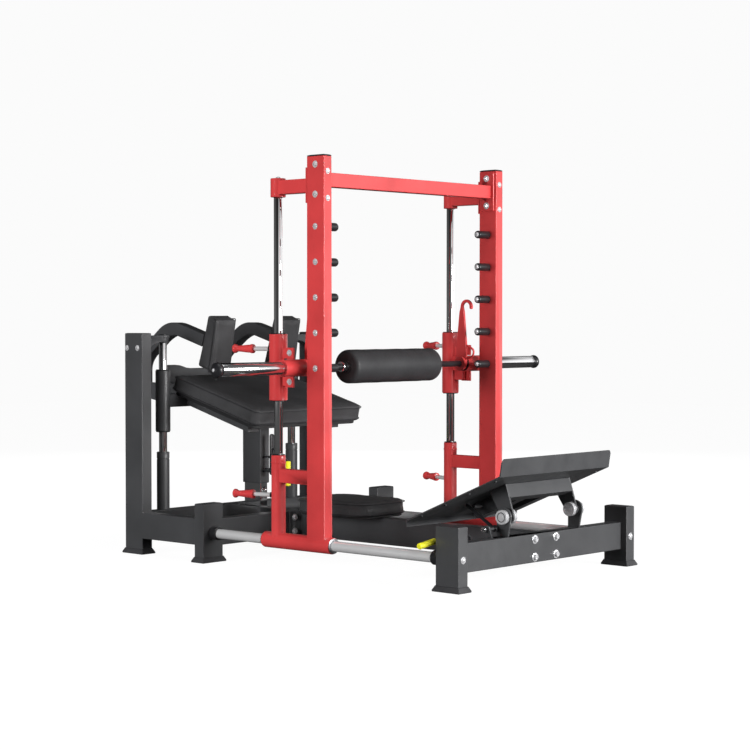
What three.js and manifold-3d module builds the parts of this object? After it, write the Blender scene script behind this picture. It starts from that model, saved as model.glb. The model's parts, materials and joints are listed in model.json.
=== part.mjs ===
// Hip thrust machine: a floor frame, a gantry that slides along two floor rods, a hip bar that
// rides on two upright rods, a height-adjustable back rest and a tilting foot plate.
// Units are millimetres. The user faces +X, so the right-hand side of the machine is -Y. +Z is up.
// Lengths along X are measured from the middle of the front cross beam; the whole machine is
// then shifted so that the origin lies on the floor under the middle of its bounding box.

import * as THREE from 'three';
import { mergeVertices } from 'three/addons/utils/BufferGeometryUtils.js';
import Module from 'manifold-3d';

const wasm = await Module();
wasm.setup();

// ---------------------------------------------------------------- driving dimensions

const ORIGIN_SHIFT = 1082;        // from the front cross beam to the middle of the footprint
const GAP = 0.3;                  // clearance between pieces that touch or slide
const ROUND = 32;                 // sides of a large round
const SMALL_ROUND = 20;           // sides of a small round

const TUBE_WIDE = 120;            // base frame tube, 60 x 120
const TUBE_THIN = 60;
const BEAM_BOTTOM = 73;
const BEAM_TOP = BEAM_BOTTOM + TUBE_WIDE;
const HALF_TRACK = 577;           // guide rods, uprights and front posts, from the middle plane

const BOOT_HEIGHT = 24;
const BOOT_FLARE = 11;
const BOOT_FLOOR = 10;            // rubber left under the end of each post
const BOOT_LIP = 2;

const FRONT_POST_TOP = 263;
const LOW_POST_X = -1423;
const LOW_POST_TOP = 263;
const TALL_POST_X = -1901;
const TALL_POST_TOP = 1023;

const GUIDE_ROD_RADIUS = 22;
const GUIDE_ROD_Z = 131;
const COLLAR_RADIUS = 30;
const FRONT_COLLAR = 30;
const REAR_COLLAR = 40;

const REAR_ROD_X = -1898;
const REAR_ROD_Y = 428;
const ROD_RADIUS = 19;            // all four upright rods
const REAR_HOLDER_TOP = 464;
const REAR_ROD_TOP = 1008;
const REAR_STAY_TOP = 1013;
const HOLDER_RADIUS = 30;

const UPRIGHT_X = -732;
const UPRIGHT_DEPTH = 100;        // along X
const UPRIGHT_WIDTH = 50;         // along Y
const UPRIGHT_TOP = 1776;
const GUIDE_TUBE = { rear: -1056, front: -650, radius: 35 };
const GANTRY_ROD_X = -978;
const GANTRY_HOLDER_TOP = 501;
const LOWER_BRACKET = { bottom: 383, top: 443 };
const TOP_BEAM = { bottom: 1648, top: 1708, depth: 50 };
const TOP_FLANGE = { bottom: 1590, top: 1766, thick: 8 };
const TOP_ARM = { bottom: 1624, top: 1684, flangeBottom: 1580, flangeTop: 1730 };
const TOP_BOSS = { bottom: 1613, top: 1694, radius: 33 };
const PEG = { radius: 18, length: 79, firstZ: 880, pitch: 150, count: 5 };

const BAR_X = -851;
const BAR_Z = 880;
const SHAFT_RADIUS = 14;
const SLIDER = { bottom: 738, top: 1024, radius: 39.5 };
const CLAMP = { inner: 520, outer: 687, radius: 37 };
const PLATE_SLEEVE = { inner: 688, outer: 1046, radius: 28.5 };
const END_BALL_RADIUS = 32;
const HALF_BAR = 1078;
const ROLLER = { half: 290, radius: 74.5, endRound: 34 };
const HOOK = {
  inner: 504, thick: 11, collarLength: 14, collarRadius: 32, x: -822, z: 1146, round: 20, width: 14,
};
const BAND_PEG = { pinRadius: 9.5, turn: 17, reach: 221, lowerZ: 327, upperZ: 960 };

const SEAT = { rear: -1315, front: -858, half: 175, top: 268, corner: 105 };
const COLUMN = { front: -1653, rear: -1774, half: 30, bottom: 304, wall: 5 };
const INNER_COLUMN_TOP = 560;
const COLUMN_BORE_TOP = 652;
const LOCK_PIN = { z: 367, tip: 6, radius: 11 };

const PAD = { slope: 15.5, rearX: -1892, rearZ: 828.4, length: 579, half: 363, thick: 76, corner: 44 };
const PAD_BOARD = { thick: 18, inset: 14 };
const PAD_RAIL = { inner: 232, outer: 302, height: 41, frontX: -1452 };
const CARRIAGE_SLEEVE = { bottom: 561, top: 848, radius: 35 };
const CROSS_TUBE = { bottom: 675, top: 735 };
const ARM = { outer: 284.5, inner: 225, size: 60, rearX: -2262, archX: -1937, archZ: 1064 };
const BACK_PLATE_X = -2104;
const SHOULDER = { outer: 284.5, inner: 149.5 };

const FOOT = { slope: 22.85, lowX: -415, lowZ: 238.3, length: 544, half: 375, sheet: 6 };
const FOOT_LIP = { height: 75, lean: 9, corner: 24 };
const FOOT_PIVOT = { x: 4, z: 274.5, bolt: 10 };
const FOOT_BRACKET = { inner: 213, outer: 222 };
const LUG = { inner: 240, outer: 250, rear: -34, front: 26, radius: 38 };
const FOOT_TUBE = { inner: 50, outer: 110, rearX: -272, size: 60 };
const PROP = { x: -35, y: -262, z: 226, radius: 7, eye: 14, topX: -252, topY: -168, topZ: 301 };
const PROP_STUD = { x: -228, z: 296, end: -160, radius: 8 };
const LEVER = { x: -88, hubY: -352, hubZ: 158, rod: 6, grip: 13 };

// ---------------------------------------------------------------- materials

const paint = (color, roughness, metalness) =>
  new THREE.MeshStandardMaterial({ color, roughness, metalness });
const MAT = {
  frame: () => paint(0x3c3d3f, 0.5, 0.3),
  red: () => paint(0xc8282b, 0.4, 0.2),
  chrome: () => paint(0xe8e8ea, 0.08, 1),
  rubber: () => paint(0x3a3a3c, 0.8, 0),
  upholstery: () => paint(0x17181a, 0.55, 0),
  foam: () => paint(0x1c1d1e, 0.85, 0),
  plastic: () => paint(0x202123, 0.45, 0),
  yellow: () => paint(0xf2ee22, 0.5, 0),
};

// ---------------------------------------------------------------- solids

/** A closed three.js geometry as a solid that can be joined and cut. */
function solid(geometry) {
  const bare = geometry.clone();
  bare.deleteAttribute('normal');
  bare.deleteAttribute('uv');
  const merged = mergeVertices(bare, 1e-4);
  return new wasm.Manifold(new wasm.Mesh({
    numProp: 3,
    vertProperties: new Float32Array(merged.attributes.position.array),
    triVerts: new Uint32Array(merged.index.array),
  }));
}

/** A joined or cut solid as a three.js geometry. */
function geometryOf(body) {
  const mesh = body.getMesh();
  const geometry = new THREE.BufferGeometry();
  geometry.setAttribute('position', new THREE.BufferAttribute(new Float32Array(mesh.vertProperties), 3));
  geometry.setIndex(new THREE.BufferAttribute(new Uint32Array(mesh.triVerts), 1));
  const flat = geometry.toNonIndexed();
  flat.computeVertexNormals();
  return flat;
}

const join = (...bodies) => bodies.reduce((sum, body) => sum.add(body));
const cut = (body, ...tools) => tools.reduce((rest, tool) => rest.subtract(tool), body);

/** A box between two corners given as ranges; a range may be in either order. */
function block([x0, x1], [y0, y1], [z0, z1]) {
  const geometry = new THREE.BoxGeometry(Math.abs(x1 - x0), Math.abs(y1 - y0), Math.abs(z1 - z0));
  geometry.translate((x0 + x1) / 2, (y0 + y1) / 2, (z0 + z1) / 2);
  return solid(geometry);
}

/** A round bar along X, Y or Z between two places on that axis. */
function round(axis, radius, from, to, a, b, sides = ROUND) {
  const geometry = new THREE.CylinderGeometry(radius, radius, Math.abs(to - from), sides);
  const middle = (from + to) / 2;
  if (axis === 'x') geometry.rotateZ(Math.PI / 2).translate(middle, a, b);
  if (axis === 'y') geometry.translate(a, middle, b);
  if (axis === 'z') geometry.rotateX(Math.PI / 2).translate(a, b, middle);
  return solid(geometry);
}

/** A profile drawn in X and Z, given thickness along Y. */
function plateXZ(shape, [y0, y1], curveSegments = 10) {
  const depth = Math.abs(y1 - y0);
  const geometry = new THREE.ExtrudeGeometry(shape, { depth, bevelEnabled: false, curveSegments });
  geometry.rotateX(Math.PI / 2).translate(0, Math.max(y0, y1), 0);
  return solid(geometry);
}

/** A profile drawn in Y and Z, given thickness along X. */
function plateYZ(shape, [x0, x1], curveSegments = 10) {
  const depth = Math.abs(x1 - x0);
  const geometry = new THREE.ExtrudeGeometry(shape, { depth, bevelEnabled: false, curveSegments });
  geometry.rotateX(Math.PI / 2).rotateZ(Math.PI / 2).translate(Math.min(x0, x1), 0, 0);
  return solid(geometry);
}

/** A profile drawn in X and Y, given height along Z. */
function plateXY(shape, [z0, z1], curveSegments = 10) {
  const depth = Math.abs(z1 - z0);
  const geometry = new THREE.ExtrudeGeometry(shape, { depth, bevelEnabled: false, curveSegments });
  geometry.translate(0, 0, Math.min(z0, z1));
  return solid(geometry);
}

const polygon = (points) => new THREE.Shape(points.map(([a, b]) => new THREE.Vector2(a, b)));

/** A rectangle with rounded corners; corners lists the radii from the low corner, anticlockwise. */
function roundedRect([x0, x1], [y0, y1], corners) {
  const [a, b, c, d] = corners;
  const shape = new THREE.Shape();
  shape.moveTo(x0 + a, y0);
  shape.lineTo(x1 - b, y0);
  if (b) shape.absarc(x1 - b, y0 + b, b, -Math.PI / 2, 0, false);
  shape.lineTo(x1, y1 - c);
  if (c) shape.absarc(x1 - c, y1 - c, c, 0, Math.PI / 2, false);
  shape.lineTo(x0 + d, y1);
  if (d) shape.absarc(x0 + d, y1 - d, d, Math.PI / 2, Math.PI, false);
  shape.lineTo(x0, y0 + a);
  if (a) shape.absarc(x0 + a, y0 + a, a, Math.PI, 1.5 * Math.PI, false);
  return shape;
}

/** A solid turned about Z from a profile of radius and height pairs. */
function turned(profile, sides = ROUND) {
  const geometry = new THREE.LatheGeometry(profile.map(([r, h]) => new THREE.Vector2(r, h)), sides);
  geometry.rotateX(Math.PI / 2);
  return solid(geometry);
}

/** Adds a named mesh to a group and returns it, so that it can be placed. */
function piece(group, name, material, body) {
  const geometry = body.isBufferGeometry ? body : geometryOf(body);
  const mesh = new THREE.Mesh(geometry, material());
  mesh.name = name;
  group.add(mesh);
  return mesh;
}

const group = (parent) => {
  const child = new THREE.Group();
  parent.add(child);
  return child;
};
const SIDES = [['right', -1], ['left', 1]];
const span = (middle, width) => [middle - width / 2, middle + width / 2];
const radians = THREE.MathUtils.degToRad;

const machine = new THREE.Group();
machine.position.x = ORIGIN_SHIFT;

// ---------------------------------------------------------------- base

const base = group(machine);
const POST_FOOT = BOOT_FLOOR + GAP;
const beam = [BEAM_BOTTOM, BEAM_TOP];

/** Front posts and cross beam, with the foot plate's lugs and the stays of the prop and the lever. */
function frontBaseFrame() {
  const parts = [block(span(0, TUBE_THIN), [-HALF_TRACK, HALF_TRACK], beam)];
  for (const [, s] of SIDES) {
    parts.push(block(span(0, TUBE_WIDE), span(s * HALF_TRACK, TUBE_THIN), [POST_FOOT, FRONT_POST_TOP]));
    const lug = new THREE.Shape();
    lug.moveTo(LUG.rear, BEAM_TOP - 1);
    lug.lineTo(LUG.front, BEAM_TOP - 1);
    lug.lineTo(FOOT_PIVOT.x + LUG.radius, FOOT_PIVOT.z);
    lug.absarc(FOOT_PIVOT.x, FOOT_PIVOT.z, LUG.radius, 0, Math.PI, false);
    parts.push(plateXZ(lug, [s * LUG.inner, s * LUG.outer], 16));
  }
  const tab = polygon([
    [-2, BEAM_TOP - 1], [-20, 240], [-36, 244], [-49, 236], [-51, 220], [-29, BEAM_TOP - 1],
  ]);
  parts.push(plateXZ(tab, [-318, -308]));
  parts.push(round('y', PROP.radius, -330, PROP.y + 10, PROP.x, PROP.z, SMALL_ROUND));
  parts.push(round('x', 8, LEVER.x - 14, 0, LEVER.hubY, LEVER.hubZ, SMALL_ROUND));
  const bores = SIDES.map(([, s]) =>
    round('y', FOOT_PIVOT.bolt + GAP, s * 230, s * 260, FOOT_PIVOT.x, FOOT_PIVOT.z, SMALL_ROUND));
  return cut(join(...parts), ...bores);
}
piece(base, 'front_base_frame', MAT.frame, frontBaseFrame());

/** Rear posts, side rails, cross beams and centre rail, with the top stays of the back rest's rods. */
function rearBaseFrame() {
  const low = span(LOW_POST_X, TUBE_THIN);
  const cross = span(REAR_ROD_X, TUBE_THIN);
  const parts = [
    block(low, [-HALF_TRACK, HALF_TRACK], beam),
    block(cross, [-HALF_TRACK, HALF_TRACK], beam),
    block([REAR_ROD_X, LOW_POST_X], span(0, TUBE_THIN), beam),
  ];
  for (const [, s] of SIDES) {
    const track = s * HALF_TRACK;
    parts.push(block(low, span(track, TUBE_WIDE), [POST_FOOT, LOW_POST_TOP]));
    parts.push(block(span(TALL_POST_X, TUBE_WIDE), span(track, TUBE_THIN), [POST_FOOT, TALL_POST_TOP]));
    parts.push(block([TALL_POST_X, LOW_POST_X], span(track, TUBE_THIN), beam));
    const web = new THREE.Shape();
    web.moveTo(track, 912);
    web.lineTo(s * 546, 912);
    web.quadraticCurveTo(s * 540, 972, s * 450, 981);
    web.lineTo(s * 430, 981);
    web.lineTo(s * 430, REAR_STAY_TOP - 1);
    web.lineTo(track, REAR_STAY_TOP - 1);
    parts.push(plateYZ(web, span(REAR_ROD_X, 50), 8));
    const boss = turned([
      [0, 978], [24, 978], [32, REAR_STAY_TOP - 8], [32, REAR_STAY_TOP], [0, REAR_STAY_TOP],
    ]);
    parts.push(boss.translate(REAR_ROD_X, s * REAR_ROD_Y, 0));
  }
  const bores = SIDES.map(([, s]) =>
    round('z', ROD_RADIUS + GAP, 950, REAR_ROD_TOP + GAP, REAR_ROD_X, s * REAR_ROD_Y));
  return cut(join(...parts), ...bores);
}
piece(base, 'rear_base_frame', MAT.frame, rearBaseFrame());

/** The long beam under the seat, with an end plate at each end. */
function spineBeam() {
  const front = -TUBE_THIN / 2 - GAP;
  const rear = LOW_POST_X + TUBE_THIN / 2 + GAP;
  const plate = { half: 100, thick: 10 };
  return join(
    block([rear, front], span(0, TUBE_THIN), beam),
    block([front - plate.thick, front], [-plate.half, plate.half], beam),
    block([rear, rear + plate.thick], [-plate.half, plate.half], beam),
  );
}
piece(base, 'spine_beam', MAT.frame, spineBeam());

/** A rubber boot: a block with sloping sides and a socket for the post's end. */
function rubberBoot(length, width) {
  const top = [length / 2 + BOOT_LIP, width / 2 + BOOT_LIP];
  const foot = [length / 2 + BOOT_FLARE, width / 2 + BOOT_FLARE];
  const points = [];
  for (const [[x, y], z] of [[foot, 0], [foot, 7], [top, BOOT_HEIGHT]]) {
    for (const [sx, sy] of [[-1, -1], [1, -1], [1, 1], [-1, 1]]) points.push([sx * x, sy * y, z]);
  }
  const faces = [[0, 2, 1], [0, 3, 2], [8, 9, 10], [8, 10, 11]];
  for (const ring of [0, 4]) {
    for (let i = 0; i < 4; i += 1) {
      const [a, b] = [ring + i, ring + (i + 1) % 4];
      faces.push([a, b, b + 4], [a, b + 4, a + 4]);
    }
  }
  const geometry = new THREE.BufferGeometry();
  geometry.setAttribute('position', new THREE.Float32BufferAttribute(points.flat(), 3));
  geometry.setIndex(faces.flat());
  const socket = block(span(0, length + 2 * GAP), span(0, width + 2 * GAP), [BOOT_FLOOR, BOOT_HEIGHT + 1]);
  return cut(solid(geometry), socket);
}
for (const [side, s] of SIDES) {
  const y = s * HALF_TRACK;
  const boots = [['front', 0, TUBE_WIDE, TUBE_THIN], ['middle', LOW_POST_X, TUBE_THIN, TUBE_WIDE],
    ['rear', TALL_POST_X, TUBE_WIDE, TUBE_THIN]];
  for (const [place, x, length, width] of boots) {
    piece(base, `${place}_boot_${side}`, MAT.rubber, rubberBoot(length, width)).position.set(x, y, 0);
  }
}

for (const [side, s] of SIDES) {
  const [rear, front] = [LOW_POST_X + TUBE_THIN / 2 + GAP, -TUBE_WIDE / 2 - GAP];
  piece(base, `guide_rod_${side}`, MAT.chrome, join(
    round('x', GUIDE_ROD_RADIUS, rear, front, s * HALF_TRACK, GUIDE_ROD_Z),
    round('x', COLLAR_RADIUS, rear, rear + REAR_COLLAR, s * HALF_TRACK, GUIDE_ROD_Z),
    round('x', COLLAR_RADIUS, front - FRONT_COLLAR, front, s * HALF_TRACK, GUIDE_ROD_Z),
  ));
  piece(base, `rear_rod_${side}`, MAT.chrome,
    round('z', ROD_RADIUS, BEAM_TOP + 2 * GAP, REAR_ROD_TOP, REAR_ROD_X, s * REAR_ROD_Y));
  piece(base, `rear_rod_holder_${side}`, MAT.frame, cut(
    round('z', HOLDER_RADIUS, BEAM_TOP + GAP, REAR_HOLDER_TOP, REAR_ROD_X, s * REAR_ROD_Y),
    round('z', ROD_RADIUS + GAP, BEAM_TOP, REAR_HOLDER_TOP + 1, REAR_ROD_X, s * REAR_ROD_Y),
  ));
}

piece(base, 'seat_pad', MAT.upholstery, plateXY(
  roundedRect([SEAT.rear, SEAT.front], [-SEAT.half, SEAT.half], Array(4).fill(SEAT.corner)),
  [BEAM_TOP + GAP, SEAT.top], 6,
));

/** The chromed inner column, with a row of long holes that the adjuster's pin drops into. */
function innerColumn() {
  const inset = COLUMN.wall + 1;
  const [rear, front] = [COLUMN.rear + inset, COLUMN.front - inset];
  const half = COLUMN.half - inset;
  const hole = { half: 14, radius: 8, pitch: 60, first: 275, count: 5 };
  const column = block([rear, front], [-half, half], [BEAM_TOP + GAP, INNER_COLUMN_TOP]);
  const holes = [];
  for (let i = 0; i < hole.count; i += 1) {
    const z = hole.first + i * hole.pitch;
    holes.push(plateYZ(
      roundedRect([-hole.half, hole.half], span(z, 2 * hole.radius), Array(4).fill(hole.radius - 1)),
      [front - 12, front + 1], 4,
    ));
  }
  return cut(column, ...holes);
}
piece(base, 'column_inner_tube', MAT.chrome, innerColumn());

/** The pivot bolt of one side of the foot plate, with a disc outside the lug and one inside. */
for (const [side, s] of SIDES) {
  const disc = (from, to, radius) =>
    round('y', radius, s * from, s * to, FOOT_PIVOT.x, FOOT_PIVOT.z, ROUND);
  const stack = LUG.outer + GAP;
  const inside = FOOT_BRACKET.inner - GAP;
  piece(base, `foot_pivot_bolt_${side}`, MAT.chrome, join(
    disc(inside - 18, stack + 18, FOOT_PIVOT.bolt),
    disc(stack, stack + 7, 30), disc(stack + 6, stack + 11, 24), disc(stack + 10, stack + 18, 30),
    disc(inside - 7, inside, 30), disc(inside - 11, inside - 6, 24), disc(inside - 18, inside - 10, 30),
    disc(FOOT_BRACKET.outer + 1, LUG.inner - GAP, 22),
  ));
}

// ---------------------------------------------------------------- gantry

const gantry = group(machine);

/** One welded side: upright, floor guide tube, rod holder and the bracket between them. */
function gantrySide(s) {
  const y = s * HALF_TRACK;
  const side = join(
    block(span(UPRIGHT_X, UPRIGHT_DEPTH), span(y, UPRIGHT_WIDTH), [GUIDE_ROD_Z, UPRIGHT_TOP]),
    round('x', GUIDE_TUBE.radius, GUIDE_TUBE.rear, GUIDE_TUBE.front, y, GUIDE_ROD_Z),
    round('z', 31, GUIDE_ROD_Z, GANTRY_HOLDER_TOP, GANTRY_ROD_X, y),
    block([GANTRY_ROD_X, UPRIGHT_X], span(y, 40), [LOWER_BRACKET.bottom, LOWER_BRACKET.top]),
  );
  return cut(
    side,
    round('x', GUIDE_ROD_RADIUS + GAP, GUIDE_TUBE.rear - 1, GUIDE_TUBE.front + 10, y, GUIDE_ROD_Z),
    round('z', ROD_RADIUS + GAP, 220, GANTRY_HOLDER_TOP + 1, GANTRY_ROD_X, y),
  );
}

/** The arm at the top of an upright that holds the top end of the upright rod. */
function topBracket(s) {
  const y = s * HALF_TRACK;
  const face = UPRIGHT_X - UPRIGHT_DEPTH / 2 - GAP;
  return cut(
    join(
      block([face - 8, face], span(y, UPRIGHT_WIDTH), [TOP_ARM.flangeBottom, TOP_ARM.flangeTop]),
      block([GANTRY_ROD_X, face], span(y, 46), [TOP_ARM.bottom, TOP_ARM.top]),
      round('z', TOP_BOSS.radius, TOP_BOSS.bottom, TOP_BOSS.top, GANTRY_ROD_X, y),
    ),
    round('z', ROD_RADIUS + GAP, TOP_BOSS.bottom - 1, TOP_BOSS.top - 6, GANTRY_ROD_X, y),
  );
}

/** A band peg: a short pin with a spool-shaped handle, pointing back and slightly outwards. */
function bandPeg(parent, name, s, z, bossRadius) {
  const start = bossRadius + 0.6;
  const spool = [[0, start], [9.5, start], [9.5, 118], [16, 118], [20, 124], [20, 146], [12, 154],
    [11, 200], [18, 205], [20, 212], [18, 219], [14, BAND_PEG.reach], [0, BAND_PEG.reach]];
  const mesh = piece(parent, name, MAT.red, turned(spool, SMALL_ROUND));
  mesh.rotation.set(0, -Math.PI / 2, 0);
  const turn = group(parent);
  turn.add(mesh);
  turn.position.set(GANTRY_ROD_X, s * HALF_TRACK, z);
  turn.rotation.z = -s * radians(BAND_PEG.turn);
}

for (const [side, s] of SIDES) {
  const y = s * HALF_TRACK;
  piece(gantry, `gantry_side_${side}`, MAT.red, gantrySide(s));
  piece(gantry, `top_bracket_${side}`, MAT.red, topBracket(s));
  piece(gantry, `upright_rod_${side}`, MAT.chrome,
    round('z', ROD_RADIUS, 220 + GAP, TOP_BOSS.top - 6 - GAP, GANTRY_ROD_X, y));
  const cap = turned([[0, 0], [50, 0], [50, 3], [38, 7], [0, 9]], 4);
  const capMesh = piece(gantry, `upright_cap_${side}`, MAT.plastic, cap);
  const fit = Math.SQRT2 * 50;
  capMesh.rotation.z = Math.PI / 4;
  const square = group(gantry);
  square.add(capMesh);
  square.position.set(UPRIGHT_X, y, UPRIGHT_TOP + GAP);
  square.scale.set(UPRIGHT_DEPTH / fit, UPRIGHT_WIDTH / fit, 1);
  for (let i = 0; i < PEG.count; i += 1) {
    const inner = HALF_TRACK - UPRIGHT_WIDTH / 2 - GAP;
    piece(gantry, `rack_peg_${side}_${i + 1}`, MAT.plastic,
      round('y', PEG.radius, s * (inner - PEG.length), s * inner, UPRIGHT_X,
        PEG.firstZ + i * PEG.pitch, SMALL_ROUND));
  }
  bandPeg(gantry, `band_peg_lower_${side}`, s, BAND_PEG.lowerZ, 31);
}

/** The beam across the top, with an end plate against the inner face of each upright. */
function topCrossBeam() {
  const end = HALF_TRACK - UPRIGHT_WIDTH / 2 - GAP;
  const plates = SIDES.map(([, s]) => block(
    span(UPRIGHT_X, 80), [s * end, s * (end - TOP_FLANGE.thick)], [TOP_FLANGE.bottom, TOP_FLANGE.top]));
  const tube = block(span(UPRIGHT_X, TOP_BEAM.depth), [-end, end], [TOP_BEAM.bottom, TOP_BEAM.top]);
  return join(tube, ...plates);
}
piece(gantry, 'top_cross_beam', MAT.red, topCrossBeam());

// ---------------------------------------------------------------- bar carriage and bar

const carriage = group(machine);

/** A slider on an upright rod, carrying the tube that the bar turns in. */
function slider(s) {
  const y = s * HALF_TRACK;
  const lug = { rear: -920, front: -866, out: 598, in: 588 };
  const heights = [[796, 842], [918, 966]];
  return cut(
    join(
      round('z', SLIDER.radius, SLIDER.bottom, SLIDER.top, GANTRY_ROD_X, y),
      block([GANTRY_ROD_X, BAR_X], span(y, 44), [846, 914]),
      block([GANTRY_ROD_X, (lug.rear + lug.front) / 2], span(y, 24), [800, 962]),
      ...heights.map((z) => block([lug.rear, lug.front], [s * lug.in, s * lug.out], z)),
      round('y', CLAMP.radius, s * CLAMP.inner, s * CLAMP.outer, BAR_X, BAR_Z),
    ),
    round('z', ROD_RADIUS + GAP, SLIDER.bottom - 1, SLIDER.top + 1, GANTRY_ROD_X, y),
    round('y', SHAFT_RADIUS + GAP, s * (CLAMP.inner - 1), s * (CLAMP.outer + 1), BAR_X, BAR_Z),
  );
}
for (const [side, s] of SIDES) {
  piece(carriage, `slider_${side}`, MAT.red, slider(s));
  bandPeg(carriage, `band_peg_upper_${side}`, s, BAND_PEG.upperZ, SLIDER.radius);
}

const bar = group(machine);
piece(bar, 'bar_shaft', MAT.plastic, round('y', SHAFT_RADIUS, -HALF_BAR + 30, HALF_BAR - 30, BAR_X, BAR_Z));

/** A lock hook: a collar on the shaft with a tapering plate that ends in a hook for the rack pegs. */
function lockHook(s) {
  const plate = new THREE.Shape();
  const outside = HOOK.round + HOOK.width;
  plate.moveTo(BAR_X - 29, BAR_Z - 6);
  plate.lineTo(BAR_X + 29, BAR_Z - 6);
  plate.lineTo(BAR_X + 29, BAR_Z + 87);
  plate.lineTo(BAR_X + 15, BAR_Z + 241);
  plate.lineTo(HOOK.x - HOOK.round, HOOK.z);
  plate.absarc(HOOK.x, HOOK.z, HOOK.round, Math.PI, 0, true);
  plate.absarc(HOOK.x + outside - HOOK.width / 2, HOOK.z - 4, HOOK.width / 2, Math.PI, 2 * Math.PI, false);
  plate.absarc(HOOK.x, HOOK.z, outside, 0, Math.PI, false);
  plate.lineTo(BAR_X - 12, BAR_Z + 241);
  plate.lineTo(BAR_X - 29, BAR_Z + 87);
  const from = s * HOOK.inner;
  return cut(
    join(
      plateXZ(plate, [from, from + s * HOOK.thick], 12),
      round('y', HOOK.collarRadius, from + s * HOOK.thick / 2, from - s * HOOK.collarLength, BAR_X, BAR_Z),
    ),
    round('y', SHAFT_RADIUS + GAP, from + s * 30, from - s * 40, BAR_X, BAR_Z),
  );
}
for (const [side, s] of SIDES) piece(bar, `lock_hook_${side}`, MAT.red, lockHook(s));

/** A plate sleeve that spins on the end of the shaft, closed by a round knob. */
function plateSleeve() {
  const { inner, outer, radius } = PLATE_SLEEVE;
  const profile = [[SHAFT_RADIUS + GAP, inner + GAP], [radius, inner + GAP], [radius, outer - 4]];
  const ball = { middle: HALF_BAR - 24, steps: 6 };
  for (let i = 0; i <= ball.steps; i += 1) {
    const a = radians(-55 + (145 * i) / ball.steps);
    profile.push([END_BALL_RADIUS * Math.cos(a), ball.middle + 24 * Math.sin(a)]);
  }
  profile[profile.length - 1][0] = 0;
  profile.push([0, HALF_BAR - 30 + GAP], [SHAFT_RADIUS + GAP, HALF_BAR - 30 + GAP]);
  profile.push([SHAFT_RADIUS + GAP, inner + GAP]);
  return turned(profile);
}
for (const [side, s] of SIDES) {
  const mesh = piece(machine, `plate_sleeve_${side}`, MAT.chrome, plateSleeve());
  mesh.rotation.x = -s * Math.PI / 2;
  mesh.position.set(BAR_X, 0, BAR_Z);
}

/** The foam roller over the hips, with rounded ends. */
function hipRoller() {
  const { half, radius, endRound } = ROLLER;
  const bore = SHAFT_RADIUS + GAP;
  const profile = [[bore, -half], [radius - endRound, -half]];
  for (let i = 1; i <= 4; i += 1) {
    const a = (i * Math.PI) / 8;
    profile.push([radius - endRound + endRound * Math.sin(a), -half + endRound * (1 - Math.cos(a))]);
  }
  for (let i = 0; i <= 4; i += 1) {
    const a = (i * Math.PI) / 8;
    profile.push([radius - endRound + endRound * Math.cos(a), half - endRound + endRound * Math.sin(a)]);
  }
  profile.push([bore, half], [bore, -half]);
  return turned(profile);
}
const roller = piece(machine, 'hip_roller', MAT.foam, hipRoller());
roller.rotation.x = -Math.PI / 2;
roller.position.set(BAR_X, 0, BAR_Z);

// ---------------------------------------------------------------- back rest

const backRest = group(machine);
const slope = radians(PAD.slope);
/** A place on the sloping pad: along it from its rear edge and up from its top face, as X and Z. */
const onPad = (along, up) => [
  PAD.rearX + along * Math.cos(slope) + up * Math.sin(slope),
  PAD.rearZ - along * Math.sin(slope) + up * Math.cos(slope),
];

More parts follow.
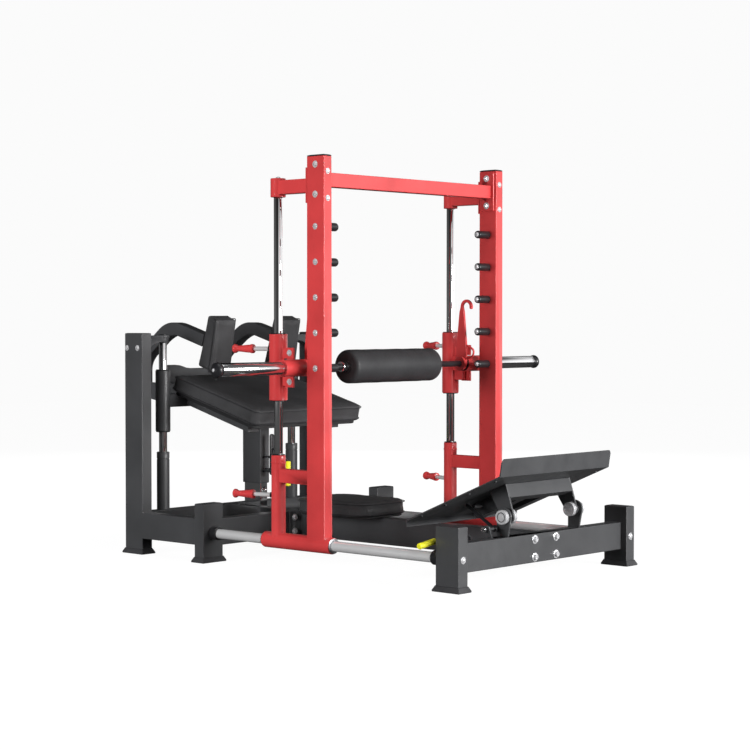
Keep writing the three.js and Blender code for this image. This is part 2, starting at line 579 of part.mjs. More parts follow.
/** Rod sleeves, cross tube, pad rails, outer column and the two arched shoulder arms, welded. */
function backRestCarriage() {
  const tube = [REAR_ROD_X - 30, REAR_ROD_X + 30];
  const under = -PAD.thick - PAD_BOARD.thick - GAP;
  const parts = [block(tube, [-REAR_ROD_Y, REAR_ROD_Y], [CROSS_TUBE.bottom, CROSS_TUBE.top])];
  /** How far along the pad the place at this X is, on the line that lies this far up from it. */
  const alongAt = (x, upFrom) => (x - PAD.rearX - upFrom * Math.sin(slope)) / Math.cos(slope);
  const bottom = under - PAD_RAIL.height;
  const rail = polygon([
    [tube[1] - 4, CROSS_TUBE.bottom], onPad(alongAt(tube[1] + 12, bottom), bottom),
    onPad(alongAt(PAD_RAIL.frontX, bottom), bottom), onPad(alongAt(PAD_RAIL.frontX, under), under),
    onPad(48, under), [tube[1] - 4, CROSS_TUBE.top - 8],
  ]);
  const cross = (along, wide) => polygon([
    onPad(along, under - 30), onPad(along + wide, under - 30),
    onPad(along + wide, under), onPad(along, under),
  ]);
  parts.push(plateXZ(cross(418, 60), [-PAD_RAIL.inner - 5, PAD_RAIL.inner + 5]));
  parts.push(plateXZ(cross(203, 60), [-PAD_RAIL.inner - 5, PAD_RAIL.inner + 5]));
  for (const [, s] of SIDES) {
    parts.push(round('z', CARRIAGE_SLEEVE.radius, CARRIAGE_SLEEVE.bottom, CARRIAGE_SLEEVE.top,
      REAR_ROD_X, s * REAR_ROD_Y));
    parts.push(plateXZ(rail, [s * PAD_RAIL.inner, s * PAD_RAIL.outer]));
    parts.push(plateXZ(shoulderArm(), [s * ARM.inner, s * ARM.outer], 12));
  }
  const top = (x) => onPad(alongAt(x, under), under);
  const columnTop = polygon([
    [COLUMN.rear, COLUMN.bottom], [COLUMN.front, COLUMN.bottom], top(COLUMN.front), top(COLUMN.rear),
  ]);
  parts.push(plateXZ(columnTop, [-COLUMN.half, COLUMN.half]));
  parts.push(rearBrace());
  const inner = COLUMN.wall;
  const board = polygon([onPad(8, under), onPad(PAD.length, under), onPad(PAD.length, 0), onPad(8, 0)]);
  return cut(
    join(...parts),
    plateXZ(board, [-PAD.half, PAD.half]),
    block([COLUMN.rear + inner, COLUMN.front - inner], [-COLUMN.half + inner, COLUMN.half - inner],
      [COLUMN.bottom - 1, COLUMN_BORE_TOP]),
    round('x', LOCK_PIN.tip + GAP, COLUMN.front - inner - 1, COLUMN.front + 1, 0, LOCK_PIN.z, SMALL_ROUND),
    ...SIDES.map(([, s]) => round('z', ROD_RADIUS + GAP, CARRIAGE_SLEEVE.bottom - 1,
      CARRIAGE_SLEEVE.top + 1, REAR_ROD_X, s * REAR_ROD_Y)),
  );
}

/** The outline of an arm: back from the cross tube, up, over an arch and down to its shoulder pad. */
function shoulderArm() {
  const { rearX, archX, archZ, size } = ARM;
  const tip = { outer: -1769 - GAP, inner: -1786.8 - GAP };
  const foot = REAR_ROD_X - 30 + 4;
  const fall = Math.tan(radians(16));
  const shape = new THREE.Shape();
  shape.moveTo(rearX, 720);
  shape.lineTo(rearX, 850);
  shape.bezierCurveTo(rearX, 905, -2235, 931, -2121, 1017);
  shape.bezierCurveTo(-2085, 1044, -2035, 1092, archX, archZ);
  shape.lineTo(tip.outer, archZ - (tip.outer - archX) * fall);
  shape.lineTo(tip.inner, archZ - size * 1.04 - (tip.inner - archX) * fall);
  shape.lineTo(archX - 18, archZ - size * 1.04 + 18 * fall);
  shape.bezierCurveTo(-2000, 1021, -2045, 999, -2085, 969);
  shape.bezierCurveTo(-2150, 920, rearX + size, 895, rearX + size, 840);
  shape.lineTo(rearX + size, 780);
  shape.lineTo(foot, 780);
  shape.lineTo(foot, CROSS_TUBE.bottom);
  shape.lineTo(REAR_ROD_X - 92, CROSS_TUBE.bottom);
  return shape;
}

/** The plate between the two arms behind the pad, lower in the middle. */
function rearBrace() {
  const shape = new THREE.Shape();
  shape.moveTo(-ARM.inner - 5, 735);
  shape.lineTo(ARM.inner + 5, 735);
  shape.lineTo(ARM.inner + 5, 866);
  shape.lineTo(170, 866);
  shape.bezierCurveTo(120, 866, 110, 848, 70, 848);
  shape.lineTo(-70, 848);
  shape.bezierCurveTo(-110, 848, -120, 866, -170, 866);
  shape.lineTo(-ARM.inner - 5, 866);
  return plateYZ(shape, span(BACK_PLATE_X, 12), 4);
}
piece(backRest, 'backrest_carriage', MAT.frame, backRestCarriage());

const padFrame = group(backRest);
padFrame.position.set(PAD.rearX, 0, PAD.rearZ);
padFrame.rotation.y = slope;
const padOutline = (inset) => roundedRect(
  [inset, PAD.length - inset], [-PAD.half + inset, PAD.half - inset],
  [14, PAD.corner, PAD.corner, 14],
);
piece(padFrame, 'back_pad', MAT.upholstery, plateXY(padOutline(0), [-PAD.thick, 0], 5));
piece(padFrame, 'back_pad_board', MAT.frame,
  plateXY(padOutline(PAD_BOARD.inset), [-PAD.thick - PAD_BOARD.thick, -PAD.thick - GAP], 5));

/** A shoulder pad: a block that is thicker at the bottom and leans forward. */
function shoulderPad(s) {
  return plateXZ(polygon([[-1815, 865], [-1723, 834], [-1683, 1086], [-1741, 1108]]),
    [s * SHOULDER.inner, s * SHOULDER.outer]);
}
for (const [side, s] of SIDES) piece(backRest, `shoulder_pad_${side}`, MAT.upholstery, shoulderPad(s));

/** The height adjuster: lock pin and guide pin on a yoke, pulled by an upright grip. */
function adjuster() {
  const start = COLUMN.front - 4;
  const yoke = { x: -1604, thick: 10 };
  const grip = { x: -1494, top: 417, bottom: 299 };
  const high = new THREE.Vector3(yoke.x, 0, 470);
  const rod = new THREE.LineCurve3(high, new THREE.Vector3(grip.x, 0, grip.top - 4));
  const circle = new THREE.Shape().absarc(0, 0, 5, 0, 2 * Math.PI, false);
  const link = new THREE.ExtrudeGeometry(circle, { extrudePath: rod, steps: 1, curveSegments: 5 });
  return join(
    round('x', 6, COLUMN.front + GAP, yoke.x, 0, 430, SMALL_ROUND),
    round('x', LOCK_PIN.radius, COLUMN.front + GAP, yoke.x, 0, LOCK_PIN.z, SMALL_ROUND),
    round('x', LOCK_PIN.tip, start, COLUMN.front + 1, 0, LOCK_PIN.z, SMALL_ROUND),
    block(span(yoke.x, yoke.thick), span(0, 24), [345, 541]),
    solid(link),
    round('z', 12, grip.bottom, grip.top, grip.x, 0, SMALL_ROUND),
  );
}
piece(backRest, 'height_adjuster', MAT.yellow, adjuster());

// ---------------------------------------------------------------- foot plate

const footGroup = group(machine);
footGroup.position.set(FOOT.lowX, 0, FOOT.lowZ);
footGroup.rotation.y = -radians(FOOT.slope);
/** A place in the machine's X and Z, as lengths along and up from the foot plate's underside. */
function onFoot([x, z]) {
  const a = radians(FOOT.slope);
  const [dx, dz] = [x - FOOT.lowX, z - FOOT.lowZ];
  return [dx * Math.cos(a) + dz * Math.sin(a), -dx * Math.sin(a) + dz * Math.cos(a)];
}

/** The bent sheet: a flat tread, a raised lip at its top edge and a turned-down low edge. */
function footSheet() {
  const bend = radians(90 - FOOT_LIP.lean - FOOT.slope);
  const [lx, lz] = [Math.cos(bend), Math.sin(bend)];
  const t = FOOT.sheet;
  const outline = polygon([
    [0, 0], [FOOT.length, 0],
    [FOOT.length + FOOT_LIP.height * lx, FOOT_LIP.height * lz],
    [FOOT.length + FOOT_LIP.height * lx - t * lz, FOOT_LIP.height * lz + t * lx],
    [FOOT.length - t * 0.6, t], [-t * 0.4, t], [-t, t * 0.5],
    [-t - 10, -22], [-10, -24],
  ]);
  const front = roundedRect([-FOOT.half - 1, FOOT.half + 1], [-40, FOOT_LIP.height * lz + t * lx + 1],
    [0, 0, FOOT_LIP.corner, FOOT_LIP.corner]);
  return plateXZ(outline, [-FOOT.half, FOOT.half])
    .intersect(plateYZ(front, [-40, FOOT.length + FOOT_LIP.height], 6));
}
piece(footGroup, 'foot_plate', MAT.frame, footSheet());

/** The frame under the sheet: side tubes, cross tube, pivot brackets and the stud for the prop. */
function footFrame() {
  const top = -GAP;
  const [px, pz] = onFoot([FOOT_PIVOT.x, FOOT_PIVOT.z]);
  const [frontX] = onFoot([-9.6, 406.6]);
  const [rear] = onFoot([FOOT_TUBE.rearX, 270]);
  const parts = [block([frontX - 55, frontX], [-214, 214], [-60, top])];
  for (const [, s] of SIDES) {
    const bracket = new THREE.Shape();
    bracket.moveTo(frontX - 92, top);
    bracket.lineTo(...onFoot([-76, 340]));
    bracket.absarc(px, pz, 30, radians(191), radians(355), false);
    bracket.lineTo(frontX + 2, top);
    parts.push(plateXZ(bracket, [s * FOOT_BRACKET.inner, s * FOOT_BRACKET.outer], 12));
    const across = [s * FOOT_TUBE.inner, s * FOOT_TUBE.outer];
    parts.push(block([rear, frontX - 40], across, [-FOOT_TUBE.size, top]));
  }
  const [sx, sz] = onFoot([PROP_STUD.x, PROP_STUD.z]);
  parts.push(round('y', PROP_STUD.radius, PROP_STUD.end, -FOOT_TUBE.outer + 4, sx, sz, SMALL_ROUND));
  const bore = FOOT_PIVOT.bolt + GAP;
  const bores = SIDES.map(([, s]) => round('y', bore, s * 205, s * 230, px, pz, SMALL_ROUND));
  return cut(join(...parts), ...bores);
}
piece(footGroup, 'foot_plate_frame', MAT.frame, footFrame());

/** The prop under the foot plate: a slanting bar with an eye on the pin at the cross beam. */
function propRod() {
  const circle = new THREE.Shape().absarc(0, 0, PROP.radius, 0, 2 * Math.PI, false);
  const end = new THREE.Vector3(PROP.topX - PROP.x, PROP.topY - PROP.y, PROP.topZ - PROP.z);
  const path = new THREE.LineCurve3(new THREE.Vector3(0, 0, 0), end);
  const rod = new THREE.ExtrudeGeometry(circle, { extrudePath: path, steps: 1, curveSegments: 8 });
  return cut(
    join(solid(rod), round('y', PROP.eye, -PROP.radius, PROP.radius, 0, 0, SMALL_ROUND)),
    round('y', PROP.radius + GAP, -PROP.radius - 9, PROP.radius + 9, 0, 0, SMALL_ROUND),
  );
}
piece(machine, 'prop_rod', MAT.plastic, propRod()).position.set(PROP.x, PROP.y, PROP.z);

/** The release lever at the front: a bent rod on a hub, with a soft grip. */
function releaseLever() {
  const path = new THREE.CatmullRomCurve3([[0, 8], [-6, 38], [-30, 44], [-130, 42], [-230, 38]]
    .map(([y, z]) => new THREE.Vector3(0, y, z)), false, 'centripetal');
  const circle = new THREE.Shape().absarc(0, 0, LEVER.rod, 0, 2 * Math.PI, false);
  const rod = new THREE.ExtrudeGeometry(circle, { extrudePath: path, steps: 12, curveSegments: 5 });
  const gripPath = new THREE.LineCurve3(new THREE.Vector3(0, -226, 38), new THREE.Vector3(0, -324, 25));
  const grip = new THREE.Shape().absarc(0, 0, LEVER.grip, 0, 2 * Math.PI, false);
  const sleeve = new THREE.ExtrudeGeometry(grip, { extrudePath: gripPath, steps: 1, curveSegments: 8 });
  return cut(
    join(round('x', 15, -10, 10, 0, 0, SMALL_ROUND), solid(rod), solid(sleeve)),
    round('x', 8 + GAP, -11, 11, 0, 0, SMALL_ROUND),
  );
}
piece(machine, 'release_lever', MAT.yellow, releaseLever()).position.set(LEVER.x, LEVER.hubY, LEVER.hubZ);

export default machine;
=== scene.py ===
import json
import math
import bmesh
import bpy
from mathutils import Matrix, Vector, noise


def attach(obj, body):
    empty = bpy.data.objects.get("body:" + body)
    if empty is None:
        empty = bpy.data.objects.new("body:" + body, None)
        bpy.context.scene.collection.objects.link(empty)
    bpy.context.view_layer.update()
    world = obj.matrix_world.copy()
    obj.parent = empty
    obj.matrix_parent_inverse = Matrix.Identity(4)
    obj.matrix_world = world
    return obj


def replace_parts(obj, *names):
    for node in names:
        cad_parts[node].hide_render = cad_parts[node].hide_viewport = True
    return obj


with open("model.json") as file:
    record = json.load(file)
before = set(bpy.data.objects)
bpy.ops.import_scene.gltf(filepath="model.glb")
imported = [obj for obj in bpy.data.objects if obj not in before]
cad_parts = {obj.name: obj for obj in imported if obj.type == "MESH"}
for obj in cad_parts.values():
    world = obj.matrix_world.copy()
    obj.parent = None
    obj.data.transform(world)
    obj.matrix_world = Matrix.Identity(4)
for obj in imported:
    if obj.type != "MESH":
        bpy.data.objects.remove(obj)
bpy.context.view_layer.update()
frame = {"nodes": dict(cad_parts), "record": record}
BODY_OF = {n: b for b, ns in frame["record"]["behaviour"]["bodies"].items() for n in ns}
SHIFT = 1.082                                   # front cross beam, along X
SIDES = (("right", -1), ("left", 1))
TRACK, ROD_X, BAR_X, BAR_Z, UPRIGHT_X = 0.577, -0.978, -0.851, 0.880, -0.732
REAR_X, REAR_Y = -1.898, 0.428


def P(x, y, z):
    """A place in metres: x from the front cross beam, y to the left, z up."""
    return Vector((x + SHIFT, y, z))


# ------------------------------------------------------------------ materials

def nodes_of(name):
    m = bpy.data.materials.new(name)
    m.use_nodes = True
    nt = m.node_tree
    b = nt.nodes["Principled BSDF"]
    tc = nt.nodes.new("ShaderNodeTexCoord")
    return m, nt, b, tc


def noise_node(nt, tc, scale, detail=4, stretch=None):
    n = nt.nodes.new("ShaderNodeTexNoise")
    n.inputs["Scale"].default_value = scale
    n.inputs["Detail"].default_value = detail
    src = tc.outputs["Object"]
    if stretch:
        mp = nt.nodes.new("ShaderNodeMapping")
        mp.inputs["Scale"].default_value = stretch
        nt.links.new(src, mp.inputs["Vector"])
        src = mp.outputs["Vector"]
    nt.links.new(src, n.inputs["Vector"])
    return n.outputs["Fac"]


def spread(nt, fac, lo, hi, a=0.3, b=0.7):
    r = nt.nodes.new("ShaderNodeMapRange")
    r.inputs["From Min"].default_value, r.inputs["From Max"].default_value = a, b
    r.inputs["To Min"].default_value, r.inputs["To Max"].default_value = lo, hi
    nt.links.new(fac, r.inputs["Value"])
    return r.outputs["Result"]


def tint(nt, fac, ca, cb):
    r = nt.nodes.new("ShaderNodeValToRGB")
    r.color_ramp.elements[0].position, r.color_ramp.elements[1].position = 0.3, 0.7
    r.color_ramp.elements[0].color, r.color_ramp.elements[1].color = (*ca, 1), (*cb, 1)
    nt.links.new(fac, r.inputs["Fac"])
    return r.outputs["Color"]


def bumps(nt, b, *layers):
    """layers are (height socket, strength, distance in metres)."""
    last = None
    for h, strength, distance in layers:
        k = nt.nodes.new("ShaderNodeBump")
        k.inputs["Strength"].default_value, k.inputs["Distance"].default_value = strength, distance
        nt.links.new(h, k.inputs["Height"])
        if last:
            nt.links.new(last, k.inputs["Normal"])
        last = k.outputs["Normal"]
    nt.links.new(last, b.inputs["Normal"])


def coated(name, color, rough, dark=0.86, light=1.12, metal=0.0, coat=0.0, peel=0.35, scale=260, spec=0.5):
    """Powder coat, paint or moulded plastic: soft colour drift, fine orange peel and uneven gloss."""
    m, nt, b, tc = nodes_of(name)
    big, fine = noise_node(nt, tc, 5, 5), noise_node(nt, tc, scale, 3)
    nt.links.new(tint(nt, big, [c * dark for c in color], [min(1, c * light) for c in color]),
        b.inputs["Base Color"])
    smear = noise_node(nt, tc, 14, 6)
    nt.links.new(spread(nt, smear, rough * 0.85, rough * 1.2), b.inputs["Roughness"])
    b.inputs["Metallic"].default_value = metal
    b.inputs["Specular IOR Level"].default_value = spec
    b.inputs["Coat Weight"].default_value = coat
    b.inputs["Coat Roughness"].default_value = 0.12
    bumps(nt, b, (fine, peel, 0.0004))
    return m


def polished(name, color, rough, axis=2, metal=1.0):
    """Bright metal with faint drawn lines along one axis. A metal value under 1 leaves part of it diffuse."""
    m, nt, b, tc = nodes_of(name)
    stretch = [260.0, 260.0, 260.0]
    stretch[axis] = 3.0
    lines, big = noise_node(nt, tc, 1.0, 3, stretch), noise_node(nt, tc, 9, 4)
    nt.links.new(tint(nt, big, [c * 0.93 for c in color], color), b.inputs["Base Color"])
    nt.links.new(spread(nt, lines, rough * 0.7, rough * 1.5), b.inputs["Roughness"])
    b.inputs["Metallic"].default_value = metal
    bumps(nt, b, (lines, 0.04, 0.0002))
    return m


def leather(name, color, rough=0.5):
    """Pebbled artificial leather: cell edges for the grain over soft wrinkles."""
    m, nt, b, tc = nodes_of(name)
    v = nt.nodes.new("ShaderNodeTexVoronoi")
    v.feature = "DISTANCE_TO_EDGE"
    v.inputs["Scale"].default_value = 420
    nt.links.new(tc.outputs["Object"], v.inputs["Vector"])
    cells = spread(nt, v.outputs["Distance"], 0, 1, 0.0, 0.25)
    big, soft = noise_node(nt, tc, 7, 5), noise_node(nt, tc, 38, 4)
    nt.links.new(tint(nt, big, [c * 0.8 for c in color], [c * 1.25 for c in color]), b.inputs["Base Color"])
    nt.links.new(spread(nt, v.outputs["Distance"], rough * 1.2, rough * 0.85, 0.0, 0.3),
        b.inputs["Roughness"])
    b.inputs["Specular IOR Level"].default_value = 0.22
    bumps(nt, b, (soft, 0.25, 0.0012), (cells, 0.35, 0.0004))
    return m


def foam(name, color, scale=520, rough=0.75):
    """Closed-cell foam or rubber with a fine open grain."""
    m, nt, b, tc = nodes_of(name)
    big, fine, mid = noise_node(nt, tc, 8, 4), noise_node(nt, tc, scale, 2), noise_node(nt, tc, 90, 4)
    nt.links.new(tint(nt, big, [c * 0.8 for c in color], [c * 1.25 for c in color]), b.inputs["Base Color"])
    nt.links.new(spread(nt, mid, rough * 0.85, min(1, rough * 1.15)), b.inputs["Roughness"])
    b.inputs["Specular IOR Level"].default_value = 0.3
    bumps(nt, b, (mid, 0.08, 0.0008), (fine, 0.22, 0.0004))
    return m


RED = coated("red_powder_coat", (0.62, 0.052, 0.054), 0.36, coat=0.25)
DARK = coated("dark_powder_coat", (0.055, 0.056, 0.059), 0.42, coat=0.1)
BLACK = coated("black_finish", (0.016, 0.016, 0.018), 0.34, coat=0.15)
CAP = coated("moulded_cap", (0.03, 0.031, 0.034), 0.5, scale=420, peel=0.6)
YELLOW = coated("yellow_grip", (0.88, 0.84, 0.03), 0.42, coat=0.1, peel=0.8, scale=180)
CHROME_X = polished("chrome_along_x", (0.92, 0.92, 0.93), 0.09, 0, 0.45)
CHROME_Y = polished("chrome_along_y", (0.88, 0.88, 0.9), 0.12, 1)
CHROME_Z = polished("chrome_along_z", (0.92, 0.92, 0.93), 0.045, 2)
ZINC = polished("zinc_bolt", (0.86, 0.86, 0.88), 0.20, 1, 0.5)
STEEL = polished("bare_steel", (0.62, 0.62, 0.64), 0.3, 2)
LEATHER = leather("black_leather", (0.046, 0.046, 0.048), 0.42)
WELT = leather("black_welt", (0.028, 0.028, 0.03), 0.5)
FOAM = foam("black_foam", (0.034, 0.034, 0.036), rough=0.5)
RUBBER = foam("boot_rubber", (0.045, 0.045, 0.048), scale=300, rough=0.7)
BOARD = coated("pad_board", (0.02, 0.02, 0.021), 0.6, scale=90, peel=0.8)


# ------------------------------------------------------------------ shapes

def add(name, me, mat, body, smooth=38, at=None):
    """A finished mesh as a piece that rides a body."""
    me.materials.clear()
    me.materials.append(mat)
    if smooth is not None:
        me.shade_smooth()
        me.set_sharp_from_angle(angle=math.radians(smooth))
    o = bpy.data.objects.new(name, me)
    bpy.context.scene.collection.objects.link(o)
    if at is not None:
        me.transform(at)
    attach(o, body)
    return o


def from_bm(name, bm, mat, body, smooth=38, at=None):
    me = bpy.data.meshes.new(name)
    bmesh.ops.recalc_face_normals(bm, faces=bm.faces)
    bm.to_mesh(me)
    bm.free()
    return add(name, me, mat, body, smooth, at)


def baked(o):
    """The mesh of o with its modifiers applied."""
    dg = bpy.context.evaluated_depsgraph_get()
    return bpy.data.meshes.new_from_object(o.evaluated_get(dg), depsgraph=dg)


def refine(node, mat, width=0.003, segments=3, name=None, smooth=38, corner=35):
    """A CAD solid with its flats cleaned and its outer edges rolled over, in place of the CAD node."""
    me = frame["nodes"][node].data.copy()
    bm = bmesh.new()
    bm.from_mesh(me)
    bmesh.ops.remove_doubles(bm, verts=bm.verts, dist=2e-5)
    bmesh.ops.dissolve_limit(bm, angle_limit=math.radians(0.6), verts=bm.verts, edges=bm.edges)
    weight = bm.edges.layers.float.get("bevel_weight_edge") or bm.edges.layers.float.new("bevel_weight_edge")
    for e in bm.edges:
        sharp = len(e.link_faces) == 2 and e.is_convex and e.calc_face_angle(0) > math.radians(corner)
        if sharp and min(f.calc_area() for f in e.link_faces) > (2.2 * width) ** 2 * 0.2:
            e[weight] = 1.0
    bm.to_mesh(me)
    bm.free()
    me.shade_smooth()
    me.set_sharp_from_angle(angle=math.radians(smooth))
    for e in me.edges:
        if me.attributes["bevel_weight_edge"].data[e.index].value > 0:
            e.use_edge_sharp = False
    tmp = bpy.data.objects.new("tmp", me)
    bpy.context.scene.collection.objects.link(tmp)
    mod = tmp.modifiers.new("round", "BEVEL")
    mod.width, mod.segments, mod.limit_method, mod.use_clamp_overlap = width, segments, "WEIGHT", False
    wn = tmp.modifiers.new("flat", "WEIGHTED_NORMAL")
    wn.keep_sharp, wn.weight, wn.thresh = True, 90, 0.01
    done = baked(tmp)
    bpy.data.objects.remove(tmp)
    o = add(name or node + "_finish", done, mat, BODY_OF[node], None)
    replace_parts(o, node)
    return o


AX = {"x": Matrix(((0, 0, 1), (1, 0, 0), (0, 1, 0))), "y": Matrix(((0, 1, 0), (0, 0, 1), (1, 0, 0))),
      "z": Matrix.Identity(3), "-x": Matrix(((0, 0, -1), (1, 0, 0), (0, -1, 0))),
      "-y": Matrix(((0, 1, 0), (0, 0, -1), (-1, 0, 0))), "-z": Matrix(((1, 0, 0), (0, -1, 0), (0, 0, -1)))}


def place(axis, at):
    """Turns a shape made along +Z to an axis, and moves it."""
    if isinstance(axis, str):
        r = AX[axis].to_4x4()
    else:
        r = Vector(axis).to_track_quat("Z", "Y").to_matrix().to_4x4()
    return Matrix.Translation(at) @ r


def lathe(name, profile, mat, body, axis="z", at=(0, 0, 0), sides=48, smooth=38):
    """A turned shape: radius and height pairs, about the axis through a place."""
    bm = bmesh.new()
    rings = []
    for r, h in profile:
        if r < 1e-6:
            rings.append([bm.verts.new((0, 0, h))])
        else:
            rings.append([bm.verts.new((r * math.cos(2 * math.pi * i / sides),
                r * math.sin(2 * math.pi * i / sides), h))
                          for i in range(sides)])
    for a, b in zip(rings, rings[1:]):
        for i in range(sides):
            j = (i + 1) % sides
            q = [a[i % len(a)], a[j % len(a)], b[j % len(b)], b[i % len(b)]]
            q = [v for k, v in enumerate(q) if v not in q[:k]]
            if len(q) > 2:
                bm.faces.new(q)
    bmesh.ops.remove_doubles(bm, verts=bm.verts, dist=1e-7)
    return from_bm(name, bm, mat, body, smooth, place(axis, at))


def edged(r, h0, h1, c=0.0012, hole=0.0):
    """The profile of a bar or tube with its ends chamfered."""
    pts = [(hole, h0), (r - c, h0), (r - c * 0.3, h0 + c * 0.3), (r, h0 + c),
           (r, h1 - c), (r - c * 0.3, h1 - c * 0.3), (r - c, h1), (hole, h1)]
    return pts + ([(hole, h0)] if hole else [])


def hex_bolt(name, at, axis, body, r=0.011, head=0.008, mat=None, washer=True):
    """A bolt head: a washer, a hexagon with a turned crown, and a shallow dished top."""
    mat = mat or ZINC
    bm = bmesh.new()

    def ring(rad, h, n, turn=0.0):
        return [bm.verts.new((rad * math.cos(2 * math.pi * i / n + turn),
            rad * math.sin(2 * math.pi * i / n + turn), h))
                for i in range(n)]

    def skin(rings, close):
        for a, b in zip(rings, rings[1:]):
            for i in range(len(a)):
                bm.faces.new((a[i], a[(i + 1) % len(a)], b[(i + 1) % len(b)], b[i]))
        bm.faces.new(rings[0][::-1])
        if close:
            bm.faces.new(rings[-1])

    w = 0.0022 if washer else 0.0
    if washer:
        skin([ring(r * 1.42, 0, 28), ring(r * 1.45, 0.0004, 28), ring(r * 1.45, w - 0.0005, 28),
            ring(r * 1.38, w, 28)], True)
    t = w + 0.00005
    skin([ring(r, t, 6), ring(r * 1.02, t + head * 0.75, 6), ring(r * 0.9, t + head, 6),
        ring(r * 0.62, t + head * 1.02, 6),
          ring(r * 0.5, t + head * 0.86, 6)], True)
    return from_bm(name, bm, mat, body, 30, place(axis, at))


def dome_bolt(name, at, axis, body, r=0.012, mat=None):
    """A round-headed bolt with a round socket sunk in its top."""
    k, d = [], 0.0016
    for i in range(7):
        a = math.pi / 2 * i / 6
        k.append((r * math.cos(a) if i < 6 else r * 0.42, 0.0012 + r * 0.52 * math.sin(a)))
    prof = [(0, 0), (r * 1.28, 0), (r * 1.3, 0.0006), (r * 1.2, d), (r, d)] + [(x, y + 0.0006)
        for x, y in k[1:]]
    prof += [(r * 0.4, 0.0014 + r * 0.2), (0, 0.0014 + r * 0.18)]
    return lathe(name, prof, mat or ZINC, body, axis, at, 36, 34)


def sweep(name, path, r, mat, body, sides=20, smooth=50, closed_ends=True, radii=None):
    """A round bar along a list of places, carried without twisting."""
    bm = bmesh.new()
    pts = [Vector(p) for p in path]
    tans = [(pts[min(i + 1, len(pts) - 1)] - pts[max(i - 1, 0)]).normalized() for i in range(len(pts))]
    up = Vector((0, 0, 1)) if abs(tans[0].z) < 0.9 else Vector((1, 0, 0))
    n = (up - tans[0] * up.dot(tans[0])).normalized()
    rings = []
    for i, (p, t) in enumerate(zip(pts, tans)):
        n = (n - t * n.dot(t)).normalized()
        b = t.cross(n)
        rr = radii[i] if radii else r
        rings.append([bm.verts.new(p + (n * math.cos(a) + b * math.sin(a)) * rr)
                      for a in (2 * math.pi * k / sides for k in range(sides))])
    for a, b in zip(rings, rings[1:]):
        for k in range(sides):
            bm.faces.new((a[k], a[(k + 1) % sides], b[(k + 1) % sides], b[k]))
    if closed_ends:
        bm.faces.new(rings[0][::-1])
        bm.faces.new(rings[-1])
    return from_bm(name, bm, mat, body, smooth)


def curve_points(ctrl, n=8):
    """Places on a smooth curve through the given ones."""
    c = [Vector(p) for p in ctrl]
    c = [2 * c[0] - c[1]] + c + [2 * c[-1] - c[-2]]
    out = []
    for i in range(1, len(c) - 2):
        for k in range(n):
            t = k / n
            a, b, d, e = c[i - 1], c[i], c[i + 1], c[i + 2]
            out.append(0.5 * ((2 * b) + (d - a) * t + (2 * a - 5 * b + 4 * d - e) * t ** 2
                + (3 * b - a - 3 * d + e) * t ** 3))
    return out + [c[-2]]


def slab(name, outline, depth, mat, body, to_world, width=0.001, segments=2, smooth=38):
    """A flat outline given thickness, with rolled edges. to_world maps (u, v, w) to a place."""
    bm = bmesh.new()
    top = [bm.verts.new(to_world(u, v, depth)) for u, v in outline]
    low = [bm.verts.new(to_world(u, v, 0)) for u, v in outline]
    bm.faces.new(top)
    bm.faces.new(low[::-1])
    n = len(outline)
    for i in range(n):
        bm.faces.new((low[i], low[(i + 1) % n], top[(i + 1) % n], top[i]))
    bmesh.ops.recalc_face_normals(bm, faces=bm.faces)
    rim = [e for e in bm.edges if len(e.link_faces) == 2 and e.calc_face_angle(0) > math.radians(35)]
    bmesh.ops.bevel(bm, geom=rim, offset=width, segments=segments, affect="EDGES", profile=0.5,
        clamp_overlap=True)
    return from_bm(name, bm, mat, body, smooth)


def arc(cx, cy, r, a0, a1, n=8):
    return [(cx + r * math.cos(math.radians(a0 + (a1 - a0) * i / n)),
        cy + r * math.sin(math.radians(a0 + (a1 - a0) * i / n)))
            for i in range(n + 1)]


def rounded(u0, u1, v0, v1, radii, n=8):
    a, b, c, d = radii
    return (arc(u0 + a, v0 + a, a, 180, 270, n) + arc(u1 - b, v0 + b, b, 270, 360, n)
            + arc(u1 - c, v1 - c, c, 0, 90, n) + arc(u0 + d, v1 - d, d, 90, 180, n))


# ------------------------------------------------------------------ frames, from the CAD solids

for node in ("front_base_frame", "rear_base_frame", "spine_beam", "backrest_carriage"):
    refine(node, DARK, 0.004)
refine("foot_plate_frame", DARK, 0.002, 2)
refine("foot_plate", DARK, 0.0014, 2)
refine("back_pad_board", BOARD, 0.0015, 2)
for side, s in SIDES:
    refine(f"gantry_side_{side}", RED, 0.004)
    refine(f"top_bracket_{side}", RED, 0.0025)
    refine(f"slider_{side}", RED, 0.0022)
    refine(f"lock_hook_{side}", RED, 0.0015)
    for place_name in ("front", "middle", "rear"):
        refine(f"{place_name}_boot_{side}", RUBBER, 0.0025)
refine("top_cross_beam", RED, 0.003)
refine("column_inner_tube", CHROME_Z, 0.003, 3)

# ------------------------------------------------------------------ rods, collars and holders

